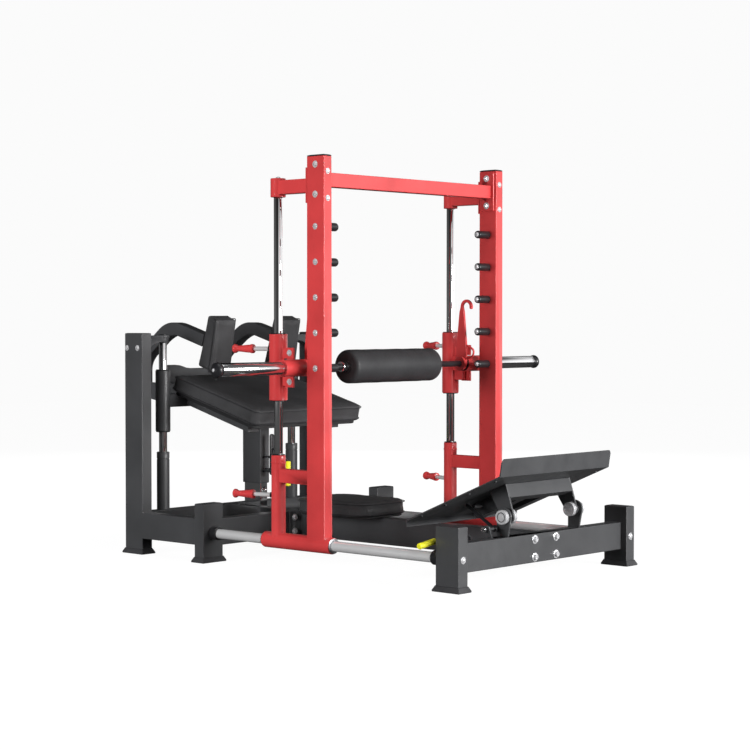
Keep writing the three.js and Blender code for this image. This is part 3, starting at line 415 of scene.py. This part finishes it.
for side, s in SIDES:
    y = s * TRACK
    rod = lathe(f"guide_rod_bar_{side}", edged(0.022, -1.3925, -0.0605), CHROME_X, "base", "x",
        P(0, y, 0.131))
    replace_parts(rod, f"guide_rod_{side}")
    for tag, a, b in (("front", -0.0900, -0.0606), ("rear", -1.3926, -1.353)):
        lathe(f"guide_rod_collar_{tag}_{side}", edged(0.030, a, b, 0.002, 0.0223), BLACK, "base", "x",
            P(0, y, 0.131))
    bar = lathe(f"upright_rod_bar_{side}", edged(0.019, 0.221, 1.6876), CHROME_Z, "gantry", "z",
        P(ROD_X, y, 0))
    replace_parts(bar, f"upright_rod_{side}")
    lathe(f"holder_ring_{side}", [(0.0315, 0.466), (0.0325, 0.467), (0.0325, 0.471), (0.0315, 0.472),
        (0.0312, 0.469), (0.0315, 0.466)],
          RED, "gantry", "z", P(ROD_X, y, 0))
    lathe(f"holder_bush_{side}", edged(0.029, 0.5012, 0.5042, 0.001, 0.0195), BLACK, "gantry", "z",
        P(ROD_X, y, 0))
    ry = s * REAR_Y
    bar = lathe(f"rear_rod_bar_{side}", edged(0.019, 0.1936, 1.0079), CHROME_Z, "base", "z", P(REAR_X, ry, 0))
    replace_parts(bar, f"rear_rod_{side}")
    hold = lathe(f"rear_rod_socket_{side}", [
        (0.0196, 0.1935), (0.030, 0.1935), (0.030, 0.428), (0.0285, 0.4295), (0.0285, 0.4335), (0.030, 0.435),
        (0.030, 0.462), (0.0285, 0.464), (0.0196, 0.464), (0.0196, 0.1935)], DARK, "base", "z",
        P(REAR_X, ry, 0))
    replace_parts(hold, f"rear_rod_holder_{side}")
    for k, (a, b) in enumerate(((0.5575, 0.5608), (0.8482, 0.8515))):
        lathe(f"rear_sleeve_bush_{k}_{side}", edged(0.033, a, b, 0.0012, 0.0195), BLACK, "back_rest", "z",
            P(REAR_X, ry, 0))
    for k, (a, b) in enumerate(((0.7345, 0.7378), (1.0242, 1.0275))):
        lathe(f"slider_bush_{k}_{side}", edged(0.036, a, b, 0.0012, 0.0195), BLACK, "bar_carriage", "z",
            P(ROD_X, y, 0))
    for k, (a, b) in enumerate(((-1.0588, -1.0562), (-0.6498, -0.6462))):
        lathe(f"guide_bush_{k}_{side}", edged(0.0325, a, b, 0.001, 0.0224), STEEL, "gantry", "x",
            P(0, y, 0.131))

# ------------------------------------------------------------------ bar, sleeves and roller

lock = lathe("bar_shaft_steel", edged(0.014, -1.047, 1.047), BLACK, "bar", "y", P(BAR_X, 0, BAR_Z))
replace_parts(lock, "bar_shaft")
for side, s in SIDES:
    ax = "-y" if s < 0 else "y"
    c = P(BAR_X, 0, BAR_Z)
    body = f"plate_sleeve_{side}"
    o = lathe(f"plate_sleeve_tube_{side}", [
        (0.0143, 0.6885), (0.0275, 0.6885), (0.0285, 0.6895), (0.0285, 1.040), (0.0275, 1.0415),
        (0.0143, 1.0415), (0.0143, 0.6885)],
        CHROME_Y, body, ax, c)
    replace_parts(o, body)
    ball = [(0.0143, 1.0418), (0.024, 1.0418), (0.0262, 1.043)]
    for i in range(11):
        a = math.radians(-35 + 120 * i / 10)
        ball.append((0.032 * math.cos(a), 1.0578 + 0.0205 * math.sin(a)))
    ball += [(0.0, 1.0782), (0.0, 1.0482), (0.0143, 1.0482), (0.0143, 1.0418)]
    lathe(f"plate_sleeve_knob_{side}", ball, BLACK, body, ax, c)
    dome_bolt(f"plate_sleeve_screw_{side}", c + Vector((0, s * 1.0768, 0)), ax, body, 0.0055)
    lathe(f"clamp_end_ring_{side}", edged(0.034, 0.5165, 0.5195, 0.001, 0.0145), BLACK, "bar_carriage", ax, c)

half = 0.290
prof = [(0.0145, -half), (0.028, -half), (0.0295, -half + 0.0025), (0.036, -half + 0.0025)]
for i in range(9):
    a = math.pi / 2 * i / 8
    prof.append((0.0545 + 0.020 * math.sin(a), -half + 0.020 * (1 - math.cos(a)) + 0.0005))
for i in range(1, 12):
    prof.append((0.0745 + 0.0005 * math.sin(i * 2.1), -half + 0.0205 + (2 * half - 0.041) * i / 12))
prof += [(r, -h) for r, h in reversed(prof[:13])]
roll = lathe("roller_foam", prof + [(0.0145, -half)], FOAM, "hip_roller", "y", P(BAR_X, 0, BAR_Z), 72)
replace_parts(roll, "hip_roller")
for side, s in SIDES:
    ax = "-y" if s < 0 else "y"
    lathe(f"roller_hub_{side}", [(0.0146, 0.2895), (0.030, 0.2895), (0.030, 0.2915), (0.026, 0.2925),
        (0.022, 0.2925), (0.021, 0.298),
                                 (0.0146, 0.298), (0.0146, 0.2895)], CAP, "hip_roller", ax,
                                 P(BAR_X, 0, BAR_Z))
    lathe(f"shaft_collar_{side}", edged(0.0235, 0.302, 0.320, 0.0015, 0.0143), CHROME_Y, "bar", ax,
        P(BAR_X, 0, BAR_Z))
    # bow handle on the front edge of each lock hook
    yy = s * 0.5095
    bow = curve_points([P(-0.8235, yy, 0.966), P(-0.806, yy, 0.9585), P(-0.786, yy, 0.948),
        P(-0.780, yy, 0.934),
                        P(-0.787, yy, 0.916), P(-0.803, yy, 0.908), P(-0.8235, yy, 0.904)], 6)
    sweep(f"hook_bow_{side}", bow, 0.0048, RED, "bar", 14)
    lathe(f"hook_weld_ring_{side}", [(0.0322, 0.4895), (0.0332, 0.4905), (0.0332, 0.4935),
        (0.0322, 0.4945), (0.0322, 0.4895)],
          RED, "bar", ax, P(BAR_X, 0, BAR_Z))

# ------------------------------------------------------------------ gantry details

for side, s in SIDES:
    y, out = s * TRACK, ("-y" if s < 0 else "y")
    inn = "y" if s < 0 else "-y"
    for i in range(5):
        z = 0.880 + 0.150 * i
        peg = lathe(f"rack_peg_grip_{side}_{i + 1}", [
            (0.0, 0.0), (0.0165, 0.0), (0.018, 0.0015), (0.018, 0.070), (0.0172, 0.0745),
            (0.0150, 0.0775), (0.0115, 0.079), (0.0, 0.079)],
            BLACK, "gantry", inn, P(UPRIGHT_X, s * 0.5517, z), 40)
        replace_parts(peg, f"rack_peg_{side}_{i + 1}")
        dome_bolt(f"rack_peg_end_{side}_{i + 1}", P(UPRIGHT_X, s * (0.5517 - 0.079), z), inn, "gantry",
            0.0085)
        dome_bolt(f"rack_peg_bolt_{side}_{i + 1}", P(UPRIGHT_X, s * 0.602, z), out, "gantry", 0.0105)
    for k, z in enumerate((1.615, 1.741)):
        dome_bolt(f"top_beam_bolt_{side}_{k}", P(UPRIGHT_X, s * 0.602, z), out, "gantry", 0.0115)
        hex_bolt(f"top_beam_nut_{side}_{k}", P(UPRIGHT_X, s * (0.5517 - 0.008), z), inn, "gantry", 0.0105,
            0.010)
    for k, z in enumerate((1.598, 1.712)):
        hex_bolt(f"top_bracket_bolt_{side}_{k}", P(-0.7903, y, z), "-x", "gantry", 0.009, 0.007)
        dome_bolt(f"top_bracket_front_{side}_{k}", P(-0.682, y, z), "x", "gantry", 0.010)
    dome_bolt(f"top_boss_screw_{side}", P(ROD_X, y, 1.694), "z", "gantry", 0.011)
    cap = bmesh.new()
    rings = []
    for inset, h in ((0.0, 0.0003), (-0.0006, 0.0016), (0.0, 0.0034), (0.004, 0.0052), (0.012, 0.0068),
        (0.019, 0.0078)):
        pts = rounded(-0.05 + inset, 0.05 - inset, -0.025 + inset, 0.025 - inset,
            [max(0.0015, 0.005 - inset * 0.3)] * 4, 4)
        rings.append([cap.verts.new((UPRIGHT_X + SHIFT + u, y + v, 1.776 + h)) for u, v in pts])
    for a, b in zip(rings, rings[1:]):
        for i in range(len(a)):
            cap.faces.new((a[i], a[(i + 1) % len(a)], b[(i + 1) % len(b)], b[i]))
    cap.faces.new(rings[0][::-1])
    cap.faces.new(rings[-1])
    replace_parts(from_bm(f"upright_cap_dome_{side}", cap, CAP, "gantry", 30), f"upright_cap_{side}")
    # slider clamp bolts and web bolts
    for k, z in enumerate((0.820, 0.944)):
        hex_bolt(f"slider_bolt_{side}_{k}", P(-0.889, s * 0.5982, z), out, "bar_carriage", 0.0095, 0.007)
    hex_bolt(f"clamp_screw_{side}", P(BAR_X, s * 0.66, BAR_Z + 0.0368), "z", "bar_carriage", 0.006, 0.005,
        BLACK, False)

# band pegs: chrome pin and red spool handle
for side, s in SIDES:
    for tag, z, start, body in (("lower", 0.327, 0.0316, "gantry"), ("upper", 0.960, 0.0401, "bar_carriage")):
        a = math.radians(17)
        d = Vector((-math.cos(a), s * math.sin(a), 0))
        at = P(ROD_X, s * TRACK, z)
        pin = lathe(f"band_peg_pin_{tag}_{side}", edged(0.0095, start, 0.120), CHROME_X, body, d, at, 32)
        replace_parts(pin, f"band_peg_{tag}_{side}")
        spool = [(0, 0.1185), (0.0150, 0.1185), (0.0190, 0.1205), (0.0200, 0.124), (0.0200, 0.132),
            (0.0190, 0.1355),
                 (0.0176, 0.139), (0.0172, 0.150), (0.0158, 0.165), (0.0141, 0.182), (0.0130, 0.198),
                 (0.0165, 0.204),
                 (0.0192, 0.208), (0.0198, 0.213), (0.0190, 0.2175), (0.0160, 0.2202), (0.0100, 0.221),
                 (0.0, 0.221)]
        lathe(f"band_peg_handle_{tag}_{side}", spool, RED, body, d, at, 40)
        lathe(f"band_peg_nut_{tag}_{side}", edged(0.0135, start, start + 0.007), BLACK, body, d, at, 6, 20)

# ------------------------------------------------------------------ base details

for s in (-1, 1):
    t = "l" if s > 0 else "r"
    for k, z in enumerate((0.096, 0.170)):
        hex_bolt(f"front_beam_bolt_{t}{k}", P(0.030, s * 0.073, z), "x", "base", 0.0125, 0.009)
        hex_bolt(f"spine_flange_nut_{t}{k}", P(-0.0405, s * 0.073, z), "-x", "base", 0.011, 0.009)
    for k, z in enumerate((0.099, 0.164)):
        hex_bolt(f"spine_rear_bolt_{t}{k}", P(-1.3825, s * 0.070, z), "x", "base", 0.011, 0.008)
    dome_bolt(f"front_post_bolt_{t}", P(0.060, s * TRACK, 0.131), "x", "base", 0.0115)
    dome_bolt(f"low_post_bolt_{t}", P(-1.453, s * 0.610, 0.131), "-x", "base", 0.0115)
    for k, x in enumerate((-1.946, -1.872)):
        dome_bolt(f"tall_post_bolt_{t}{k}", P(x, s * 0.606, 0.955), "-y" if s < 0 else "y", "base", 0.0105)
    lathe(f"rear_boss_cap_{t}", [(0, 0), (0.0235, 0), (0.0235, 0.0008), (0.021, 0.003), (0.0, 0.0038)],
        BLACK, "base", "z",
          P(REAR_X, s * REAR_Y, 1.0131))
    # caps on the posts
    for tag, x, lx, ly, z in (("front", 0, 0.120, 0.060, 0.263), ("mid", -1.423, 0.060, 0.120, 0.263),
        ("tall", -1.901, 0.120, 0.060, 1.023)):
        cap = bmesh.new()
        rings = []
        for inset, h in ((0.0055, 0.0001), (0.0055, 0.0005), (0.0065, 0.0008), (0.010, 0.0009)):
            pts = rounded(-lx / 2 + inset, lx / 2 - inset, -ly / 2 + inset, ly / 2 - inset, [0.004] * 4, 3)
            rings.append([cap.verts.new((x + SHIFT + u, s * TRACK + v, z + h)) for u, v in pts])
        for a, b in zip(rings, rings[1:]):
            for i in range(len(a)):
                cap.faces.new((a[i], a[(i + 1) % len(a)], b[(i + 1) % len(b)], b[i]))
        cap.faces.new(rings[0][::-1])
        cap.faces.new(rings[-1])
        from_bm(f"post_plug_{tag}_{t}", cap, CAP, "base", 30)
for side, s in SIDES:
    ax, c = ("-y" if s < 0 else "y"), P(0.004, 0, 0.2745)
    shaft = lathe(f"pivot_shaft_{side}", edged(0.010, 0.1947, 0.2683), ZINC, "base", ax, c, 32)
    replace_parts(shaft, f"foot_pivot_bolt_{side}")
    for tag, a, sg in (("outer", 0.2503, 1), ("inner", 0.2127, -1)):
        disc = [(0.0102, 0.0), (0.029, 0.0), (0.030, 0.001), (0.030, 0.006), (0.029, 0.007),
            (0.0245, 0.0073), (0.024, 0.0085),
                (0.0245, 0.0097), (0.029, 0.010), (0.030, 0.011), (0.030, 0.0165), (0.0285, 0.018),
                (0.0215, 0.018), (0.0205, 0.0168),
                (0.0175, 0.0168), (0.0165, 0.018), (0.0102, 0.018), (0.0102, 0.0)]
        lathe(f"pivot_disc_{tag}_{side}", [(r, a + sg * h) for r, h in disc], ZINC, "base", ax, c, 48, 25)
    lathe(f"pivot_spacer_{side}", edged(0.022, 0.2225, 0.2395, 0.001, 0.0102), STEEL, "base", ax, c, 40)
    lathe(f"pivot_ring_{side}", [(0.0206, 0.2670), (0.0206, 0.26745), (0.0174, 0.26745), (0.0174, 0.2670),
        (0.0206, 0.2670)],
          BLACK, "base", ax, c, 40)
lathe("prop_pin_head", edged(0.012, 0.330, 0.336, 0.001), CHROME_Y, "base", "-y", P(-0.035, 0, 0.226))

# ------------------------------------------------------------------ adjuster

a_body = "height_adjuster"
yoke = slab("adjuster_yoke", rounded(-0.012, 0.012, 0.345, 0.541, [0.011] * 4, 5), 0.010, BLACK, a_body,
            lambda u, v, w: P(-1.609 + w, u, v), 0.0012)
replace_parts(yoke, "height_adjuster")
lathe("adjuster_lock_pin", [(0, -1.657), (0.0055, -1.657), (0.006, -1.656), (0.006, -1.6526),
    (0.0105, -1.6526), (0.011, -1.6515),
                            (0.011, -1.6095), (0, -1.6095)], STEEL, a_body, "x", P(0, 0, 0.367), 32)
lathe("adjuster_guide_pin", edged(0.006, -1.6526, -1.6095), STEEL, a_body, "x", P(0, 0, 0.430), 28)
sweep("adjuster_link", curve_points([P(-1.600, 0, 0.472), P(-1.565, 0, 0.458), P(-1.525, 0, 0.436),
    P(-1.497, 0, 0.414)], 6),
      0.005, STEEL, a_body, 16)
grip = [(0, 0.299), (0.0095, 0.299), (0.0118, 0.3015)]
for i in range(12):
    z = 0.306 + 0.0085 * i
    grip += [(0.012, z), (0.0112, z + 0.0035), (0.0112, z + 0.0050), (0.012, z + 0.0080)]
grip += [(0.012, 0.411), (0.0105, 0.4155), (0.007, 0.417), (0, 0.417)]
lathe("adjuster_grip", grip, YELLOW, a_body, "z", P(-1.494, 0, 0), 32, 30)
for k, z in enumerate((0.430, 0.367)):
    hex_bolt(f"adjuster_nut_{k}", P(-1.599, 0, z), "x", a_body, 0.0075, 0.005, ZINC, False)

# ------------------------------------------------------------------ foot plate, prop and lever

SL = math.radians(22.85)


def on_foot(u, y, w):
    """A place on the foot plate: along it from the low edge, across, and up from its underside."""
    return P(-0.415 + u * math.cos(SL) - w * math.sin(SL), y, 0.2383 + u * math.sin(SL) + w * math.cos(SL))


down = Vector((math.sin(SL), 0, -math.cos(SL)))
up = -down
for s in (-1, 1):
    t = "l" if s > 0 else "r"
    for k, u in enumerate((0.060, 0.20, 0.34, 0.49)):
        dome_bolt(f"tread_rivet_{t}{k}", on_foot(u, s * 0.345, 0.0), down, "foot_plate", 0.0055, DARK)
    for k, u in enumerate((0.17, 0.31, 0.41)):
        dome_bolt(f"tread_screw_{t}{k}", on_foot(u, s * 0.080, 0.006), up, "foot_plate", 0.0075, BLACK)
slab("tread_mat", rounded(0.020, 0.515, -0.350, 0.350, [0.012] * 4, 5), 0.0026, RUBBER, "foot_plate",
     lambda u, v, w: on_foot(u, v, 0.0062 + w), 0.0008)

prop = sweep("prop_bar", curve_points([P(-0.049, -0.2564, 0.2308), P(-0.10, -0.2360, 0.2485),
    P(-0.18, -0.2041, 0.2761),
                                       P(-0.252, -0.1753, 0.301)], 6), 0.007, BLACK, "prop", 18)
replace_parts(prop, "prop_rod")
lathe("prop_eye", edged(0.014, -0.007, 0.007, 0.0015, 0.0073), BLACK, "prop", "y",
    P(-0.035, -0.262, 0.226), 32)

ctrl = [P(-0.088, -0.352 + dy, 0.158 + dz) for dy, dz in ((0.0, 0.010), (-0.003, 0.024), (-0.008, 0.038),
    (-0.030, 0.044),
                                                         (-0.130, 0.042), (-0.232, 0.0375))]
lv = sweep("lever_rod", curve_points(ctrl, 6), 0.006, BLACK, "release_lever", 18)
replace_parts(lv, "release_lever")
lathe("lever_hub", edged(0.015, -0.010, 0.010, 0.0018, 0.0083), BLACK, "release_lever", "x",
    P(-0.088, -0.352, 0.158), 36)
g0, g1 = P(-0.088, -0.352 - 0.226, 0.196), P(-0.088, -0.352 - 0.324, 0.183)
gd = (g1 - g0)
gl = gd.length
prof = [(0, 0), (0.010, 0), (0.0128, 0.0025)]
for i in range(10):
    z = 0.006 + i * 0.0088
    prof += [(0.013, z), (0.0122, z + 0.003), (0.0122, z + 0.005), (0.013, z + 0.008)]
prof += [(0.013, gl - 0.006), (0.0118, gl - 0.002), (0.009, gl), (0, gl)]
lathe("lever_grip", prof, YELLOW, "release_lever", gd.normalized(), g0, 32, 30)

# ------------------------------------------------------------------ padding

def cushion(name, outline, thick, to_world, body, crown, inset=0.0005, cap=0.004, voxel=0.005,
    pressure=4.0, welt=True):
    """A stuffed pad: a crowned closed form, swelled by a short cloth run, with piped seams added after.

    The pad is made on a flat plan (u, v) with w upwards, and to_world puts it in place."""
    cu = sum(u for u, v in outline) / len(outline)
    cv = sum(v for u, v in outline) / len(outline)
    bm = bmesh.new()
    rows = []
    for w, pull in ((0.0, 0.003), (0.003, 0.0005), (thick * 0.25, 0.0), (thick * 0.5, 0.0),
        (thick * 0.8, 0.0),
                    (thick - 0.003, 0.0005), (thick, 0.003)):
        ring = []
        for u, v in outline:
            d = Vector((u - cu, v - cv))
            k = 1 - (inset + pull) / d.length
            ring.append(bm.verts.new((cu + d.x * k, cv + d.y * k, w)))
        rows.append(ring)
    n = len(outline)
    for a, b in zip(rows, rows[1:]):
        for i in range(n):
            bm.faces.new((a[i], a[(i + 1) % n], b[(i + 1) % n], b[i]))
    bm.faces.new(rows[0][::-1])
    bm.faces.new(rows[-1])
    me = bpy.data.meshes.new(name)
    bm.to_mesh(me)
    bm.free()
    o = bpy.data.objects.new(name, me)
    bpy.context.scene.collection.objects.link(o)
    rm = o.modifiers.new("remesh", "REMESH")
    rm.mode, rm.voxel_size = "VOXEL", voxel * 1
    done = baked(o)
    o.modifiers.clear()
    o.data = done
    start = [v.co.copy() for v in done.vertices]
    vg = o.vertex_groups.new(name="held")
    for v in done.vertices:
        if v.co.z < 0.004:
            vg.add([v.index], 1.0, "REPLACE")
    cl = o.modifiers.new("cloth", "CLOTH")
    st = cl.settings
    st.quality, st.mass = 5, 0.3
    st.use_pressure, st.uniform_pressure_force = True, pressure
    st.tension_stiffness = st.compression_stiffness = 15
    st.bending_stiffness = 0.5
    st.effector_weights.gravity = 0.0
    st.vertex_group_mass = "held"
    cl.point_cache.frame_start, cl.point_cache.frame_end = 1, 20
    for f in range(1, 21):
        bpy.context.scene.frame_set(f)
    swelled = baked(o)
    moved = [v.co.copy() for v in swelled.vertices]
    o.modifiers.clear()
    bpy.context.scene.frame_set(1)
    for v, a, b in zip(done.vertices, start, moved):
        d = b - a
        if d.length > cap:
            d *= cap / d.length
        p = a + d
        # a shallow crown over the whole top, and a little wander so no face is dead flat
        if a.z > thick * 0.5:
            edge = min(abs(a.x - min(q[0] for q in outline)), abs(a.x - max(q[0] for q in outline)),
                       abs(a.y - min(q[1] for q in outline)), abs(a.y - max(q[1] for q in outline)))
            p.z += crown * (1 - math.exp(-edge / 0.05)) * (a.z - thick * 0.5) / (thick * 0.5) - crown
        p += Vector((noise.noise(p * 14), noise.noise(p * 14 + Vector((7, 3, 1))),
            noise.noise(p * 14 + Vector((2, 9, 5))))) * 0.0008
        v.co = (p.x, p.y, max(0.0, p.z))
    sm = o.modifiers.new("smooth", "SMOOTH")
    sm.iterations = 1
    sub = o.modifiers.new("sub", "SUBSURF")
    sub.levels = sub.render_levels = 1
    final = baked(o)
    bpy.data.objects.remove(o)
    # rounding and swelling change the size a little, so it is brought back to the plan
    for i, (lo, hi) in enumerate(((min(q[0] for q in outline), max(q[0] for q in outline)),
                                  (min(q[1] for q in outline), max(q[1] for q in outline)),
                                  (0.0003, thick + crown))):
        a, b = min(v.co[i] for v in final.vertices), max(v.co[i] for v in final.vertices)
        for v in final.vertices:
            v.co[i] = lo + inset * (i < 2) + (v.co[i] - a) * (hi - lo - 2 * inset * (i < 2)) / (b - a)
    for v in final.vertices:
        v.co = to_world(*v.co)
    piece = add(name, final, LEATHER, body, 80)
    if welt:
        for k, w in enumerate((thick * 0.80,) if welt == "top" else (thick * 0.12, thick * 0.84)):
            ring = []
            for u, v in outline:
                d = Vector((u - cu, v - cv))
                q = 1 + 0.0004 / d.length
                ring.append(to_world(cu + d.x * q, cv + d.y * q, w))
            sweep(f"{name}_piping_{k}", ring + ring[:2], 0.0021, WELT, body, 10, 60, False)
    return piece


def dense(outline, step=0.012):
    out = []
    for (a, b), (c, d) in zip(outline, outline[1:] + outline[:1]):
        n = max(1, int(math.hypot(c - a, d - b) / step))
        out += [(a + (c - a) * i / n, b + (d - b) * i / n) for i in range(n)]
    return out


seat = cushion("seat_cushion", dense(rounded(-1.315, -0.858, -0.175, 0.175, [0.105] * 4, 12)), 0.066,
               lambda u, v, w: P(u, v, 0.2018 + w), "base", 0.003)
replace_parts(seat, "seat_pad")
slab("seat_board", rounded(-1.303, -0.870, -0.163, 0.163, [0.094] * 4, 10), 0.0075, BOARD, "base",
     lambda u, v, w: P(u, v, 0.1936 + w), 0.0015)

PS = math.radians(15.5)


def on_pad(u, v, w):
    """A place on the back pad: along the slope from its rear edge, across, and up from its underside."""
    k = w - 0.076
    return P(-1.892 + u * math.cos(PS) + k * math.sin(PS), v, 0.8284 - u * math.sin(PS) + k * math.cos(PS))


back = cushion("back_cushion", dense(rounded(0, 0.579, -0.363, 0.363, [0.016, 0.044, 0.044, 0.016], 8)),
    0.076,
               on_pad, "back_rest", 0.002, voxel=0.006)
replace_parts(back, "back_pad")

for side, s in SIDES:
    wide = 0.135
    root, tip = P(-1.815, s * 0.1495, 0.865), P(-1.741, s * 0.1495, 1.108)
    lean = (tip - root).normalized()
    reach = (tip - root).length
    low, high = Vector((0.092, 0, -0.031)), Vector((0.058, 0, -0.022))

    def to_shoulder(u, v, w, s=s, root=root, lean=lean, reach=reach, low=low, high=high):
        # u runs up the back, v across, w out of the front; the pad is thicker at its foot
        k = min(1.0, max(0.0, u / reach))
        return root + lean * u + Vector((0, s * v, 0)) + low.lerp(high, k) * (w / 0.080)

    pad = cushion(f"shoulder_cushion_{side}", dense(rounded(0.0, reach, 0.0, wide, [0.007] * 4, 4), 0.008),
                  0.080, to_shoulder, "back_rest", 0.001, cap=0.002, voxel=0.0035, welt="top")
    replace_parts(pad, f"shoulder_pad_{side}")

# ------------------------------------------------------------------ floor, light, camera

bm = bmesh.new()
bmesh.ops.create_grid(bm, x_segments=8, y_segments=8, size=14)
me = bpy.data.meshes.new("floor")
bm.to_mesh(me)
bm.free()
floor = bpy.data.objects.new("floor", me)
bpy.context.scene.collection.objects.link(floor)
floor.location.z = -0.0006
m, nt, b, tc = nodes_of("pale_floor")
nt.links.new(tint(nt, noise_node(nt, tc, 0.6, 3), (0.80, 0.80, 0.805), (0.84, 0.84, 0.84)),
    b.inputs["Base Color"])
b.inputs["Roughness"].default_value = 0.95
b.inputs["Specular IOR Level"].default_value = 0.0
glow = nt.nodes.new("ShaderNodeEmission")
glow.inputs["Color"].default_value, glow.inputs["Strength"].default_value = (1.12, 1.12, 1.12, 1), 1.0
dim = nt.nodes.new("ShaderNodeBsdfDiffuse")
dim.inputs["Color"].default_value = (0.09, 0.09, 0.09, 1)
look, pale = nt.nodes.new("ShaderNodeMixShader"), nt.nodes.new("ShaderNodeMixShader")
pale.inputs[0].default_value = 0.85
nt.links.new(b.outputs[0], pale.inputs[1])
nt.links.new(glow.outputs[0], pale.inputs[2])
lp = nt.nodes.new("ShaderNodeLightPath")
nt.links.new(lp.outputs["Is Camera Ray"], look.inputs[0])
nt.links.new(dim.outputs[0], look.inputs[1])
nt.links.new(pale.outputs[0], look.inputs[2])
nt.links.new(look.outputs[0], nt.nodes["Material Output"].inputs["Surface"])
me.materials.append(m)

world = bpy.data.worlds.new("studio")
bpy.context.scene.world = world
world.use_nodes = True
nt = world.node_tree
nt.nodes.clear()
out = nt.nodes.new("ShaderNodeOutputWorld")
tc = nt.nodes.new("ShaderNodeTexCoord")


def along(direction, stops):
    """The studio's brightness as a ramp over how far round towards a direction one looks."""
    dot = nt.nodes.new("ShaderNodeVectorMath")
    dot.operation = "DOT_PRODUCT"
    dot.inputs[1].default_value = Vector(direction).normalized()
    nt.links.new(tc.outputs["Generated"], dot.inputs[0])
    half_range = nt.nodes.new("ShaderNodeMapRange")
    half_range.inputs["From Min"].default_value = -1.0
    nt.links.new(dot.outputs["Value"], half_range.inputs["Value"])
    ramp = nt.nodes.new("ShaderNodeValToRGB")
    ramp.color_ramp.elements[0].position, ramp.color_ramp.elements[1].position = stops[0][0], stops[-1][0]
    for e, (_, c) in zip(ramp.color_ramp.elements, (stops[0], stops[-1])):
        e.color = (c, c, c, 1)
    for p, c in stops[1:-1]:
        ramp.color_ramp.elements.new(p).color = (c, c, c, 1)
    nt.links.new(half_range.outputs["Result"], ramp.inputs["Fac"])
    return ramp.outputs["Color"]


height = along((0, 0, 1), [(0.0, 0.55), (0.46, 0.9), (0.52, 1.0), (0.62, 0.8), (0.74, 0.12), (1.0, 0.05)])
round_side = along((0.740, 0.673, 0), [(0.0, 0.12), (0.20, 0.05), (0.54, 0.05), (0.60, 0.40),
    (0.66, 1.25), (0.92, 1.3), (1.0, 1.0)])
mul = nt.nodes.new("ShaderNodeMixRGB")
mul.blend_type = "MULTIPLY"
mul.inputs[0].default_value = 1.0
nt.links.new(height, mul.inputs[1])
nt.links.new(round_side, mul.inputs[2])
lit = nt.nodes.new("ShaderNodeBackground")
lit.inputs["Strength"].default_value = 1.0
nt.links.new(mul.outputs["Color"], lit.inputs["Color"])
seen = nt.nodes.new("ShaderNodeBackground")
seen.inputs["Color"].default_value = (0.965, 0.965, 0.965, 1)
lp = nt.nodes.new("ShaderNodeLightPath")
mix = nt.nodes.new("ShaderNodeMixShader")
nt.links.new(lp.outputs["Is Camera Ray"], mix.inputs[0])
nt.links.new(lit.outputs[0], mix.inputs[1])
nt.links.new(seen.outputs[0], mix.inputs[2])
nt.links.new(mix.outputs[0], out.inputs["Surface"])


def area(name, at, to, size, size_y, power):
    light = bpy.data.lights.new(name, "AREA")
    light.shape, light.size, light.size_y, light.energy = "RECTANGLE", size, size_y, power
    o = bpy.data.objects.new(name, light)
    bpy.context.scene.collection.objects.link(o)
    o.location = Vector(at)
    o.rotation_mode = "QUATERNION"
    o.rotation_quaternion = (Vector(to) - Vector(at)).to_track_quat("-Z", "Y")
    return o


area("key_front", (7.0, 1.0, 1.6), (0, 0, 0.8), 3.0, 2.4, 620)
area("side_fill", (-1.0, -7.5, 1.5), (0, 0, 0.8), 4.0, 2.2, 480).visible_glossy = False
area("top_soft", (1.5, -1.5, 5.0), (0, 0, 0), 3.0, 3.0, 40)
area("rim_back", (-4.5, 5.0, 2.2), (0, 0, 0.9), 3.0, 2.0, 120).visible_glossy = False

scene = bpy.context.scene
scene.view_settings.view_transform = "Standard"
cam = bpy.data.objects.new("camera", bpy.data.cameras.new("camera"))
scene.collection.objects.link(cam)
cam.data.sensor_width, cam.data.lens = 36.0, 92.07
cam.data.clip_start, cam.data.clip_end = 0.1, 100
cam.location = P(4.90875, -6.42172, 1.09078)
cam.rotation_euler = (math.radians(90 - 1.685), 0, math.radians(42.321))
scene.camera = cam
